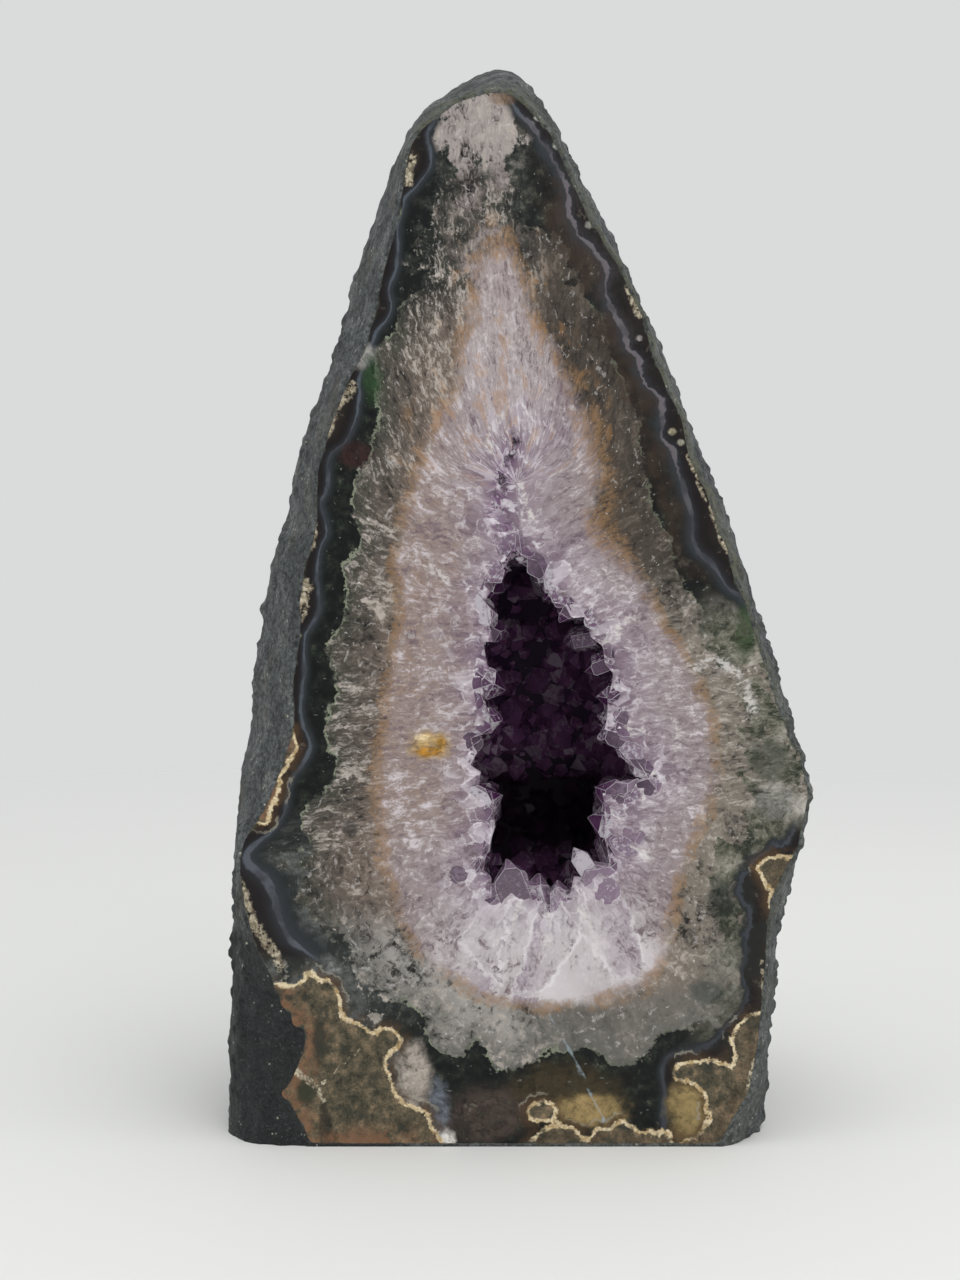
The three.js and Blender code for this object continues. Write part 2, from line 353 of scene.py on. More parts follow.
def drawn_in(line, width):
    """A closed line moved inwards and smoothed, kept clear of the line that it came from."""
    step, smoothing, clearance = 0.9, 2.6, 0.4
    even = spaced(line, step)
    reach = np.arange(-6, 7)
    weights = np.exp(-((reach / smoothing) ** 2))
    smooth = sum(w * np.roll(even, r, axis=0) for r, w in zip(reach, weights)) / weights.sum()
    along = np.roll(smooth, -1, axis=0) - np.roll(smooth, 1, axis=0)
    side = np.stack([along[:, 1], -along[:, 0]], 1) / np.linalg.norm(along, axis=1)[:, None]
    moved_out = line_distance(smooth + side * 0.5, line).mean() > line_distance(smooth, line).mean()
    side = -side if moved_out else side
    inner = smooth + side * width
    for _ in range(6):
        short = np.maximum(line_distance(inner, line) + clearance, 0)
        inner = inner + side * short[:, None]
    return untangled(inner)


def filled(loops, inner=()):
    """Triangles between closed lines, through any further points given, as (points, triangles)."""
    points, edges = [], []
    for loop in loops:
        first, count = len(points), len(loop)
        points += [Vector(p) for p in loop]
        edges += [(first + i, first + (i + 1) % count) for i in range(count)]
    points += [Vector(p) for p in inner]
    flat, _, triangles, *_ = delaunay_2d_cdt(points, edges, [], 0, 1e-6, False)
    flat, triangles = np.array([tuple(p) for p in flat]), np.array([tuple(t) for t in triangles])
    middles = flat[triangles].mean(axis=1)
    crossings = sum((line_distance(middles, loop) < 0).astype(int) for loop in loops)
    return flat, triangles[crossings % 2 == 1]


def at_depth(flat, depth):
    """Points of the drawing's x and z as points in space, at a depth behind the face."""
    return np.insert(flat, 1, depth, axis=1)


def band_between(first, second):
    """The faces of a band between two closed lines with as many points each."""
    count = len(first)
    i = np.arange(count)
    after = (i + 1) % count
    faces = np.stack([i, after, after + count, i + count], 1)
    return np.vstack([first, second]), faces


bed_edge = drawn_in(face_edge, LIP_WIDTH)

# The hollow behind the face, as the crystals see it: narrow at its mouth and wide in the depth.
HOLLOW_DEPTH = 74
HOLLOW_MIDDLE = np.array([8.0, 31.0, 93.0])
HOLLOW_POWER = 2.1
HOLLOW_SWELL = (24, 2.2)
CRUST_THICKNESS = 5
WALL_AROUND = 120  # points of the wall's mesh round the hollow
WALL_RINGS = 25
WELD = 2e-3
MOUTH_OUTLINE = [
    (-14, 60), (-17, 90), (-15, 118), (-11, 137), (-2, 149), (10, 146), (19, 134), (29, 118),
    (34, 98), (33, 76), (25, 59), (8, 52),
]
CHAMBER_OUTLINE = [
    (-22, 58), (-27, 90), (-24, 124), (-14, 149), (-2, 162), (12, 158), (25, 142), (37, 120),
    (42, 96), (40, 72), (30, 52), (8, 43),
]
mouth_reach = reach_by_angle(MOUTH_OUTLINE, HOLLOW_MIDDLE[[0, 2]])
chamber_reach = reach_by_angle(CHAMBER_OUTLINE, HOLLOW_MIDDLE[[0, 2]])


def hollow_reach(way):
    """Distance from the hollow's middle to its wall, for unit directions."""
    angle = np.arctan2(way[:, 2], way[:, 0])
    along = np.hypot(way[:, 0], way[:, 2])
    chamber = chamber_reach(angle)
    ahead = depth_through(mouth_reach(angle), chamber, HOLLOW_MIDDLE[1], HOLLOW_POWER)
    depth = np.where(way[:, 1] < 0, ahead, HOLLOW_DEPTH - HOLLOW_MIDDLE[1])
    reach = curved_reach(chamber, depth, along, abs(way[:, 1]), HOLLOW_POWER)
    return reach + HOLLOW_SWELL[1] * soft_noise(way * reach[:, None], HOLLOW_SWELL[0])


def wall_ring(depth, allowance):
    """The hollow's wall at one depth behind the face, moved out by an allowance."""
    angles = np.linspace(0, 2 * math.pi, WALL_AROUND, endpoint=False)
    tilts = np.radians(np.linspace(-84, 89, 180))
    turn, tilt = (grid.ravel() for grid in np.meshgrid(angles, tilts, indexing="ij"))
    flat = np.cos(tilt)
    way = np.stack([flat * np.cos(turn), np.sin(tilt), flat * np.sin(turn)], 1)
    place = (way * (hollow_reach(way) + allowance)[:, None]).reshape(WALL_AROUND, -1, 3)
    out = np.hypot(place[..., 0], place[..., 2])
    away = [np.interp(depth - HOLLOW_MIDDLE[1], y, r) for y, r in zip(place[..., 1], out)]
    return np.stack([
        HOLLOW_MIDDLE[0] + away * np.cos(angles),
        np.full(WALL_AROUND, float(depth)),
        HOLLOW_MIDDLE[2] + away * np.sin(angles),
    ], 1)


def cup(allowance, front):
    """The hollow's wall from a depth near the face to its far end, as rings closed by a point."""
    last = HOLLOW_DEPTH + allowance
    share = np.sin(np.linspace(0, math.pi / 2, WALL_RINGS, endpoint=False))
    rings = [wall_ring(front + s * (last - 0.6 - front), allowance) for s in share]
    i = np.arange(WALL_AROUND)
    after = (i + 1) % WALL_AROUND
    faces = []
    for first in range(0, (WALL_RINGS - 1) * WALL_AROUND, WALL_AROUND):
        ring = np.stack([i, i + WALL_AROUND, after + WALL_AROUND, after], 1)
        faces += (ring + first).tolist()
    first, tip = (WALL_RINGS - 1) * WALL_AROUND, WALL_RINGS * WALL_AROUND
    faces += [[first + a, tip, first + b] for a, b in zip(i, after)]
    end = [[HOLLOW_MIDDLE[0], last, HOLLOW_MIDDLE[2]]]
    return np.vstack(rings + [end]), faces


def sew_on(cut, sheets):
    """Adds sheets of faces to a mesh and joins the points that they share."""
    for points, faces in sheets:
        made = [cut.verts.new(p) for p in points]
        for face in faces:
            if len(set(face)) == len(face):
                cut.faces.new([made[i] for i in face])
    bmesh.ops.remove_doubles(cut, verts=cut.verts, dist=WELD)


def whole(sheets):
    """One closed mesh from sheets that share their edges, with its faces turned outwards."""
    joined = bmesh.new()
    sew_on(joined, sheets)
    bmesh.ops.recalc_face_normals(joined, faces=joined.faces)
    return joined


bed_level = FACE_THICKNESS + BED_GAP
edge_front = at_depth(bed_edge, 0.0)
lip, lip_faces = filled([face_edge, bed_edge])
bed, bed_faces = filled([bed_edge, wall_ring(bed_level, 0)[:, [0, 2]]])
foot, foot_faces = filled([foot_edge])
sew_on(rind_cut, [
    (at_depth(lip, 0.0), lip_faces),
    band_between(edge_front, at_depth(bed_edge, bed_level)),
    (at_depth(bed, bed_level), bed_faces),
    cup(0, bed_level),
    (np.insert(foot, 2, 0.0, axis=1), foot_faces),
])
bmesh.ops.dissolve_degenerate(rind_cut, dist=1e-5, edges=rind_cut.edges)
bmesh.ops.recalc_face_normals(rind_cut, faces=rind_cut.faces)


def paint(red, green, blue):
    """A colour as seen on a screen, 0 to 255, as the light that it stands for."""
    return [((c / 255 + 0.055) / 1.055) ** 2.4 if c > 10 else c / 3295 for c in (red, green, blue)] + [1.0]


class Finish:
    """A material as it is made up, with a short word for each kind of node."""

    def __init__(self, name):
        self.material = bpy.data.materials.new(name)
        self.material.use_nodes = True
        self.tree = self.material.node_tree
        self.surface = self.tree.nodes["Principled BSDF"]
        object_place = self.add("TexCoord", {}, "Object")
        self.place = self.add("VectorMath", {0: object_place, "Scale": 1 / MM}, operation="SCALE")

    def add(self, kind, inputs, out=0, **settings):
        node = self.tree.nodes.new("ShaderNode" + kind)
        for key, value in settings.items():
            setattr(node, key, value)
        for key, value in inputs.items():
            if isinstance(value, bpy.types.NodeSocket):
                self.tree.links.new(value, node.inputs[key])
            else:
                node.inputs[key].default_value = value
        return node.outputs[out]

    def value(self, name):
        """A number that the mesh keeps for each of its points or faces."""
        return self.add("Attribute", {}, "Fac", attribute_name=name)

    def noise(self, size, detail, rough=0.55, place=None, out=0):
        """Cloudy noise from 0 to 1 with features of a size in millimetres."""
        where = {"Vector": place or self.place, "Scale": 1 / size, "Detail": detail, "Roughness": rough}
        return self.add("TexNoise", where, out)

    def cells(self, size, out="Distance", feature="F1", place=None):
        """Grains of a size in millimetres."""
        where = {"Vector": place or self.place, "Scale": 1 / size}
        return self.add("TexVoronoi", where, out, feature=feature)

    def calc(self, operation, a, b=0.0):
        return self.add("Math", {0: a, 1: b}, operation=operation)

    def fade(self, value, start, end, low=0.0, high=1.0):
        """A soft step: low up to start, high from end on."""
        limits = {"Value": value, 1: start, 2: end, 3: low, 4: high}
        return self.add("MapRange", limits, interpolation_type="SMOOTHSTEP")

    def both(self, *shares):
        """The product of some shares: where all of them are."""
        product = shares[0]
        for share in shares[1:]:
            product = self.calc("MULTIPLY", product, share)
        return product

    def sum(self, a, b):
        return self.calc("ADD", a, b)

    def less(self, a, b):
        return self.calc("SUBTRACT", a, b)

    def swing(self, value):
        """A share from 0 to 1 as one from -0.5 to 0.5."""
        return self.calc("SUBTRACT", value, 0.5)

    def size_of(self, value):
        return self.calc("ABSOLUTE", value)

    def larger(self, a, b, c=None):
        """The largest of two or three values."""
        return self.calc("MAXIMUM", a, b if c is None else self.calc("MAXIMUM", b, c))

    def over(self, under, top, *shares):
        """A colour with another one over it, where all the shares are."""
        under, top = (paint(*colour) if isinstance(colour, tuple) else colour for colour in (under, top))
        return self.add("Mix", {0: self.both(*shares), 6: under, 7: top}, 2, data_type="RGBA")

    def axis(self, n):
        """One coordinate of the frame in millimetres: 0 is x, 1 is y and 2 is z."""
        return self.add("SeparateXYZ", {0: self.place}, n)

    def shades(self, value, *stops):
        """A colour for each value, from stops of a value and a colour's red, green and blue."""
        node = self.tree.nodes.new("ShaderNodeValToRGB")
        low, high = stops[0][0], stops[-1][0]
        scaled = self.add("MapRange", {"Value": value, 1: low, 2: high})
        self.tree.links.new(scaled, node.inputs[0])
        ramp = node.color_ramp
        while len(ramp.elements) < len(stops):
            ramp.elements.new(0.5)
        for element, (at, *colour) in zip(ramp.elements, stops):
            element.position = (at - low) / (high - low)
            element.color = paint(*colour)
        return node.outputs[0]

    def finish(self, **sockets):
        for key, value in sockets.items():
            socket = self.surface.inputs[key.replace("_", " ")]
            if isinstance(value, bpy.types.NodeSocket):
                self.tree.links.new(value, socket)
            else:
                socket.default_value = value
        return self.material

    def bump(self, height, strength, distance, under=None):
        inputs = {"Height": height, "Strength": strength, "Distance": distance * MM}
        if under:
            inputs["Normal"] = under
        return self.add("Bump", inputs)


def basalt_rind():
    f = Finish("basalt rind")
    mottle = f.noise(7, 6, 0.65)
    base = f.shades(
        mottle, (0.3, 62, 66, 67), (0.48, 89, 94, 94), (0.62, 116, 121, 120),
        (0.78, 144, 147, 142),
    )
    grit = f.noise(0.8, 4, 0.75)
    base = f.over(base, (22, 24, 25), f.fade(grit, 0.52, 0.34, 0, 0.85))
    base = f.over(base, (132, 136, 133), f.fade(grit, 0.54, 0.7, 0, 0.7))
    base = f.over(base, (26, 28, 29), f.fade(f.cells(1.4), 0.42, 0.75), 0.6)
    x, y, z = (f.axis(n) for n in range(3))
    low = f.sum(z, f.both(mottle, 34))
    dark_foot = f.both(f.fade(low, 86, 62), f.fade(x, -20, -34))
    far = f.sum(y, f.both(mottle, 40))
    dark_foot = f.both(dark_foot, f.fade(far, FACE_PLANE / MM + 62, FACE_PLANE / MM + 34))
    stains = f.fade(f.noise(16, 4), 0.5, 0.66)
    base = f.over(base, (96, 92, 78), stains, 0.35)
    base = f.over(base, f.over((8, 10, 12), (40, 45, 48), f.fade(grit, 0.42, 0.72)), dark_foot, 0.92)
    front = f.fade(y, FACE_PLANE / MM + 9, FACE_PLANE / MM + 1)
    top_right = f.larger(f.fade(x, 0, 24), f.fade(z, 226, 246))
    top_right = f.both(top_right, f.fade(z, 92, 122, 0.25, 1))
    greenish = f.both(front, top_right, f.fade(f.noise(2.4, 4), 0.35, 0.6))
    base = f.over(base, (106, 108, 90), greenish, 0.8)
    specks = f.both(f.fade(f.cells(1.9), 0.2, 0.1), f.fade(f.noise(7, 2), 0.5, 0.6))
    base = f.over(base, (186, 184, 166), specks)
    salt = f.both(f.fade(f.cells(0.75), 0.24, 0.12), f.fade(f.noise(3, 3), 0.44, 0.62))
    base = f.over(base, (138, 140, 138), salt, 0.55)
    pepper = f.fade(f.noise(0.45, 2, 0.6), 0.42, 0.32)
    base = f.over(base, (16, 18, 19), pepper, 0.6)
    rough = f.bump(grit, 1.0, 1.1)
    rough = f.bump(f.cells(1.4), 0.8, -0.7, rough)
    return f.finish(Base_Color=base, Roughness=f.fade(mottle, 0.3, 0.7, 0.78, 0.55), Normal=rough)


def lay_down(name, cut, material, slot, *nodes, smooth=True):
    """The finished mesh as a piece of the object, standing for its nodes and riding on its body."""
    mesh = bpy.data.meshes.new(name)
    cut.to_mesh(mesh)
    cut.free()
    p = np.empty(len(mesh.vertices) * 3)
    mesh.vertices.foreach_get("co", p)
    mesh.vertices.foreach_set("co", placed(p.reshape(-1, 3)).ravel())
    mesh.polygons.foreach_set("use_smooth", [smooth] * len(mesh.polygons))
    mesh.materials.append(material)
    piece = bpy.data.objects.new(name, mesh)
    bpy.context.collection.objects.link(piece)
    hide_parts(*nodes)
    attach(piece, "root")


bmesh.ops.triangulate(rind_cut, faces=[f for f in rind_cut.faces if len(f.verts) > 4])
lay_down("basalt_rind", rind_cut, basalt_rind(), "banded_stone", "stone")

# The polished face: one flat cut through everything that grew in the basalt. From the lip inwards
# come brown agate with a thin blue-grey band, dark green chalcedony, grey quartz, an ochre line of
# iron and pale lavender quartz, whose fibres all point at the mouth of the hollow.
# Each line is a list of its points (x, z), and each strip has its width before them.
AGATE_RING = [
    (-17, -7), (-17, 0), (-18, 6.5), (-19.5, 12), (-22, 17.5), (-24.5, 24), (-27, 28.5),
    (-32, 30.5), (-37.5, 33), (-40, 37), (-42, 40.5), (-45, 43.5), (-48.5, 46), (-51, 48),
    (-54, 50.5), (-56, 54), (-57.5, 58), (-58, 61.5), (-59.5, 64.5), (-62.5, 67.5), (-64.5, 70.5),
    (-61.5, 74.5), (-58.5, 76.5), (-56, 80), (-54.5, 85.5), (-53.5, 89.5), (-50.5, 93.5),
    (-49, 97), (-49.5, 99), (-51, 103), (-51.5, 106), (-51, 109.5), (-51, 112), (-50.5, 115.5),
    (-50.5, 120), (-50, 124), (-48.5, 126.5), (-47, 130), (-47, 134), (-47.5, 138), (-47, 142),
    (-46.5, 145), (-45, 147.5), (-45, 149.5), (-45.5, 152), (-46.5, 155), (-45, 158),
    (-44.5, 161.5), (-44.5, 165), (-43.5, 167.5), (-41, 169), (-39, 172.5), (-37.5, 178),
    (-37, 181.5), (-37, 184.5), (-35, 189), (-33.5, 195), (-32.5, 196.5), (-30.5, 198.5),
    (-29.5, 201.5), (-30, 204), (-30, 206), (-28.5, 209.5), (-28, 213.5), (-28, 217), (-28, 220),
    (-26.5, 225), (-26, 227), (-24, 229), (-22, 231.5), (-20.5, 234), (-20, 236.5), (-21, 240),
    (-21, 242), (-19, 245.5), (-16.5, 248), (-12, 250), (-7.5, 251), (-3, 251), (0.5, 246.5),
    (3.5, 243.5), (6, 240), (8, 236.5), (10, 233), (12, 228), (12.5, 223.5), (14.5, 219),
    (16, 216.5), (18.5, 214), (20.5, 211.5), (21.5, 209), (21, 206), (22, 202.5), (23.5, 198.5),
    (26.5, 193), (29, 189), (29.5, 186.5), (31, 183), (33.5, 180), (34.5, 176), (35, 170.5),
    (37, 167), (39, 161), (41, 154.5), (42, 151), (42, 146.5), (43.5, 143.5), (46.5, 141),
    (48.5, 138), (50.5, 135), (53, 133.5), (55, 130), (59.5, 119), (64, 107), (67, 94),
    (68.5, 84.5), (68.5, 79), (65, 74), (61, 72.5), (57, 70.5), (55, 67), (54.5, 62.5), (56, 59),
    (56, 55), (55, 52), (55.5, 48), (54.5, 44), (54.5, 40), (54.5, 36), (53.5, 32.5), (51, 30),
    (48, 26.5), (46, 25), (42.5, 24), (39.5, 22.5), (36.5, 20.5), (35.5, 18), (36, 13.5),
    (36, 6.5), (35, -7),
]
QUARTZ_RING = [
    (-8.5, 231.5), (-14.5, 229.5), (-19, 225), (-22, 218), (-24.5, 211), (-26.5, 203),
    (-28.5, 196), (-32.5, 191.5), (-33, 183), (-33, 175), (-34, 170), (-35.5, 165), (-38.5, 159),
    (-38, 151.5), (-36.5, 146), (-41.5, 140), (-40, 132), (-40.5, 128), (-43.5, 124.5),
    (-45, 120.5), (-43.5, 116), (-42.5, 110.5), (-45.5, 103.5), (-43, 91.5), (-48, 85), (-51, 81),
    (-50.5, 69.5), (-51.5, 62), (-45, 52.5), (-38, 44.5), (-33, 38.5), (-28, 35), (-20.5, 32),
    (-21, 27.5), (-14.5, 21.5), (-10, 25), (-4, 19.5), (3.5, 20), (9, 24), (14.5, 23),
    (16.5, 24.5), (21, 22.5), (24, 20.5), (29.5, 20.5), (32, 22.5), (34.5, 26), (37.5, 28),
    (43, 28.5), (47, 34), (49.5, 38.5), (49.5, 48), (47.5, 56.5), (48, 64.5), (50, 72), (53, 76.5),
    (56.5, 80.5), (58.5, 86.5), (57.5, 94), (56.5, 101), (55.5, 108.5), (53.5, 115), (49, 120),
    (45.5, 125), (42.5, 132), (37, 141.5), (36, 147.5), (32, 154.5), (30.5, 160.5), (30, 167.5),
    (27, 179), (22.5, 191), (19.5, 200), (15, 209.5), (10.5, 218), (6, 224), (-0.5, 229),
]
IRON_RING = [
    (-9, 212), (-10.5, 200), (-14, 192), (-14, 183), (-18, 178.5), (-20.5, 172), (-23, 165),
    (-25.5, 158.5), (-26.5, 151), (-28.5, 141.5), (-27.5, 132), (-29.5, 120), (-31, 108.5),
    (-33, 96.5), (-33.5, 84.5), (-31.5, 71.5), (-28, 58.5), (-22, 46.5), (-10, 37.5), (6, 34),
    (21, 36), (30.5, 39.5), (35.5, 46.5), (37, 55), (39.5, 64.5), (42, 73), (46.5, 84.5),
    (47.5, 96.5), (44.5, 108.5), (39, 120), (33, 130), (27, 140.5), (22, 146.5), (19.5, 152.5),
    (20, 160.5), (19, 167.5), (16, 177), (11.5, 186), (8.5, 193), (4, 200), (1, 209.5),
    (-2.5, 219),
]
OPENING = [
    (-1, 141), (3, 140), (6, 137.5), (7.5, 132), (11, 127.5), (15.5, 124), (19.5, 118), (21, 110.5),
    (19.5, 103), (23.5, 96.5), (28, 92.5), (26.5, 88), (20, 86.5), (19.5, 80), (21, 72),
    (17.5, 69.5), (14, 67), (11, 64), (7, 63), (3.5, 65), (-1, 66.5), (-4, 62.5), (-6, 72),
    (-3, 84.5), (-7.5, 91), (-8, 96.5), (-3, 103), (-7, 108.5), (-5, 112), (-6.5, 118), (-4, 124),
    (-6.5, 130.5), (-3.5, 135.5),
]
SEAM = [(0, 170.5), (-1, 167.5), (-3, 163), (-4, 158), (-4.5, 152.5), (-3, 149), (-1, 145), (1, 141.5)]
BASALTS = [
    [(3, 8), (4, 10), (6.5, 10.8), (9.2, 10), (10.2, 8.2), (8.6, 6.8), (6, 6.3), (4, 6.6)],
    [
        (-61, 39.5), (-56.5, 39.5), (-53.5, 39), (-50, 41.5), (-48.5, 42.5), (-47, 40.5),
        (-45, 40.5), (-42.5, 36), (-41.5, 32), (-38, 30), (-33.5, 28), (-31.5, 29), (-29.5, 28.5),
        (-27.5, 26.5), (-28.5, 24), (-30.5, 23), (-31.5, 20.5), (-30.5, 17), (-29.5, 13.5),
        (-27, 11), (-23.5, 9), (-21, 8.5), (-20.5, 6), (-17.5, 0.5), (-17, -8), (-64, -8),
        (-66.5, 16.5), (-64, 33.5),
    ],
    [
        (1.5, -8), (3, 0), (5, 2.5), (8, 4.5), (10.5, 5), (13.5, 4.5), (16, 3), (17, 1.5), (18, 3),
        (21, 4.5), (23.5, 4.5), (25, 6), (27.5, 5), (30.5, 3.5), (33, 4), (34, 2.5), (35.5, 4),
        (37, 3), (37.5, 1.5), (38, -8),
    ],
    [
        (38.5, 18.5), (40, 20.5), (44, 21), (48.5, 21), (51, 20), (52, 19), (53, 21), (52.5, 24),
        (52, 27), (53.5, 29.5), (55, 31), (57.5, 32.5), (60.5, 33), (68.5, 32.5), (68.5, -8),
        (39.5, -8), (39.5, 0.5), (43.5, 2.5), (45.5, 5), (47, 7), (46, 9), (46, 11.5), (45, 13.5),
        (43, 15.5), (41, 16), (38.5, 16.5),
    ],
    [
        (58, 68), (60.5, 70), (65, 70.5), (68.5, 69.5), (66, 62.5), (63.5, 56.5), (61, 59),
        (61.5, 62.5), (59.5, 65),
    ],
    [
        (-54, 102), (-53, 99.5), (-52.5, 97), (-53.5, 94.5), (-55, 91.5), (-56.5, 89.5), (-56.5, 87),
        (-57.5, 84), (-59, 81.5), (-59.5, 79), (-61, 78.5), (-62.5, 79.5), (-61.5, 83), (-59, 87.5),
        (-57, 93.5), (-55.5, 98.5),
    ],
]
CREAM_STRIPS = [
    (2.0, [(-25.5, 230.5), (-25, 234), (-24, 236.5)]),
    (2.2, [(-38.5, 183), (-40.5, 180.5), (-42.5, 178), (-44, 175), (-45, 171.5)]),
    (1.4, [(-48, 150.5), (-48, 148), (-48.5, 144.5)]),
    (2.2, [(-49.5, 136), (-50.5, 132), (-51.5, 128)]),
    (2.2, [(-67, 65.5), (-65, 61), (-63.5, 56.5), (-62, 53), (-59.5, 49), (-57.5, 46.5), (-56.5, 44)]),
    (1.4, [(-53.5, 21), (-52.5, 18), (-49.5, 16), (-47.5, 14), (-46.5, 11.5)]),
    (0.6, [(-34.5, 27.5), (-36.5, 24.5), (-42.5, 19.5), (-46.5, 15.5)]),
    (1.6, [(26.5, 206), (27.5, 203), (29, 199.5)]),
    (1.2, [(41, 166.5), (43, 160.5), (44.5, 156)]),
    (1.7, [(46.5, 154.5), (48, 150), (49, 146.5), (51, 143.5)]),
    (1.0, [(57.5, 21), (56.5, 17.5), (56, 13.5)]),
    (1.2, [(-32, 210), (-33.5, 205), (-35, 199.5)]),
    (0.9, [(59, 45.5), (59.5, 39.5), (60, 34.5)]),
]
CRACK = [(7, 36), (9.5, 29), (13, 23.5), (16, 17.5), (19.5, 10), (21.5, 6)]
FROST_STRIPS = [
    (1.5, [(41.8, 116), (46.9, 117.7), (51.1, 116.3), (53.6, 112.9), (56.6, 106.2)]),
    (1.6, [(12.1, 126.4), (16.8, 122.6), (21.4, 123), (28.2, 127.4)]),
    (1.2, [(25.5, 103.5), (27.5, 100.5), (30, 101.5)]),
    (1.3, [(28, 91.5), (31.5, 92), (33.5, 88.5), (30, 85.5)]),
    (1.3, [(23.5, 74.5), (28, 73), (33, 70.5)]),
    (1.0, [(36, 105), (39, 101), (38, 96.5)]),
    (1.0, [(-21, 140), (-18, 138.5), (-15.5, 135.5)]),
    (1.1, [(-3, 176), (-6, 173), (-6.5, 168)]),
    (1.0, [(1, 160), (2.5, 155), (4, 151.5)]),
    (1.2, [(1, 59), (-1, 54), (-5, 49)]),
    (1.2, [(8, 58), (8, 52), (6, 46)]),
    (1.2, [(16, 58), (19, 52), (20, 46)]),
]
CHIP_LENGTHS = (1.8, 3.4)  # along the mouth's edge, from one corner of its zigzag to the next
COARSE_MESH = 1.3
FINE_MESH = 0.55
FINE_WITHIN = 8  # of the mouth and of the seam above it
MOUTH_BEVEL = 3.2  # how much wider the plate's hole is behind
BROKEN_EDGE = (2.6, 1.4)  # how wide and how deep the polish is broken away round the mouth
BROKEN_SEAM = 1.8
# x, z and size of the other places with broken crystals
BROKEN_SPOTS = [(31, 88.6, 3.4), (29, 73.8, 4.4), (24, 104, 2.6), (22, 62, 3), (-14, 66, 2.4)]

chips = np.random.default_rng(11)
OPENING_MIDDLE = np.array([7.0, 97.0])
opening_reach = reach_by_angle(OPENING, OPENING_MIDDLE)


def chipped_edge():
    """The edge of the polished quartz round the mouth: the zigzag of the crystals sawn through there."""
    turn, out, angles, reaches = 0.0, False, [], []
    while turn < 2 * math.pi - 0.05:
        reach = opening_reach(turn)
        angles.append(turn)
        reaches.append(reach + (chips.uniform(2.6, 4.4) if out else chips.uniform(0.7, 1.8)))
        turn += chips.uniform(*CHIP_LENGTHS) / reach
        out = not out
    fine = np.linspace(0, 2 * math.pi, 260, endpoint=False)
    reach = np.interp(fine, angles, reaches, period=2 * math.pi)
    return fine, reach


edge_angles, edge_reaches = chipped_edge()
edge_ways = np.stack([np.cos(edge_angles), np.sin(edge_angles)], 1)
hole_flat = OPENING_MIDDLE + edge_ways * edge_reaches[:, None]
hole_back_flat = OPENING_MIDDLE + edge_ways * (edge_reaches + MOUTH_BEVEL)[:, None]


def lattice(step, low, high):
    """Evenly spread points in rows that are set off by half a step."""
    points = []
    for n, z in enumerate(np.arange(low[1], high[1], step * 0.87)):
        row = np.arange(low[0] + (n % 2) * step / 2, high[0], step)
        points.append(np.stack([row, np.full(len(row), z)], 1))
    return np.vstack(points)


low, high = face_edge.min(axis=0), face_edge.max(axis=0)


def near_mouth(points):
    """Distance to the nearest of the mouth's edge and the seam above it."""
    return np.minimum(abs(line_distance(points, hole_flat)), line_distance(points, SEAM, False))


coarse = lattice(COARSE_MESH, low, high)
coarse = coarse[near_mouth(coarse) > FINE_WITHIN]
fine = lattice(FINE_MESH, low, high)
fine = fine[near_mouth(fine) <= FINE_WITHIN]
spots = np.vstack([coarse, fine])
spots = spots[(line_distance(spots, bed_edge) < -0.45) & (line_distance(spots, hole_flat) > 0.25)]
front_flat, front_faces = filled([bed_edge, hole_flat], spots)
back_flat, back_faces = filled([bed_edge, hole_back_flat])


def facets(points, size, seed):
    """Height of flat tilted facets like those of broken crystals, one in each cell."""
    cell = np.floor(points / size)
    nearest = np.full(len(points), 1e9)
    height = np.zeros(len(points))
    for step in np.ndindex(3, 3):
        i, j = (cell + step - 1).T
        shift = np.stack([chance(i + seed, j, 3.0), chance(i, j + seed, 5.0)], 1)
        off = points - (np.stack([i, j], 1) + shift) * size
        distance = np.linalg.norm(off, axis=1)
        tilt = np.stack([chance(i, j, seed + 1.0), chance(i, j, seed + 2.0)], 1) - 0.5
        mine = chance(i, j, seed + 3.0) * size * 0.5 + (off * tilt).sum(1) * 1.2
        height = np.where(distance < nearest, mine, height)
        nearest = np.minimum(distance, nearest)
    return height


seam_gap = line_distance(front_flat, SEAM, False)
seam_width = 1.8 + 2.4 * np.clip((160 - front_flat[:, 1]) / 16, 0, 1)
edge_gap = line_distance(front_flat, hole_flat)
broken = np.clip(1 - edge_gap / BROKEN_EDGE[0], 0, 1) * BROKEN_EDGE[1]
broken += np.clip(1 - seam_gap / seam_width, 0, 1) * BROKEN_SEAM
for x, z, size in BROKEN_SPOTS:
    off = np.hypot(front_flat[:, 0] - x, front_flat[:, 1] - z) / size
    broken = np.maximum(broken, np.clip(1.6 - 1.3 * off, 0, 1))
sunk = broken * np.clip(0.35 + facets(front_flat, 2.3, 3) * 0.75, 0, 2)
on_edge = (abs(edge_gap) < 1e-4) | (abs(line_distance(front_flat, bed_edge)) < 1e-4)
sunk = np.where(on_edge, 0, sunk)
face_cut = whole([
    (at_depth(front_flat, sunk), front_faces),
    band_between(edge_front, at_depth(bed_edge, FACE_THICKNESS)),
    (at_depth(back_flat, FACE_THICKNESS), back_faces),
    band_between(at_depth(hole_flat, 0.0), at_depth(hole_back_flat, FACE_THICKNESS)),
])

FIBRE_ROOT = np.array([[9.0, 78.0], [0.0, 160.0]])  # the line that all the fibres start from
FIBRE_TURN = 44  # radius of the roll that the fibres' places are wound on
FIBRE_RISE = 0.55  # how far the fibres of the upper half rise as they run outwards
FIBRE_END = 20  # radius of the turn of the fibres round either end of that line


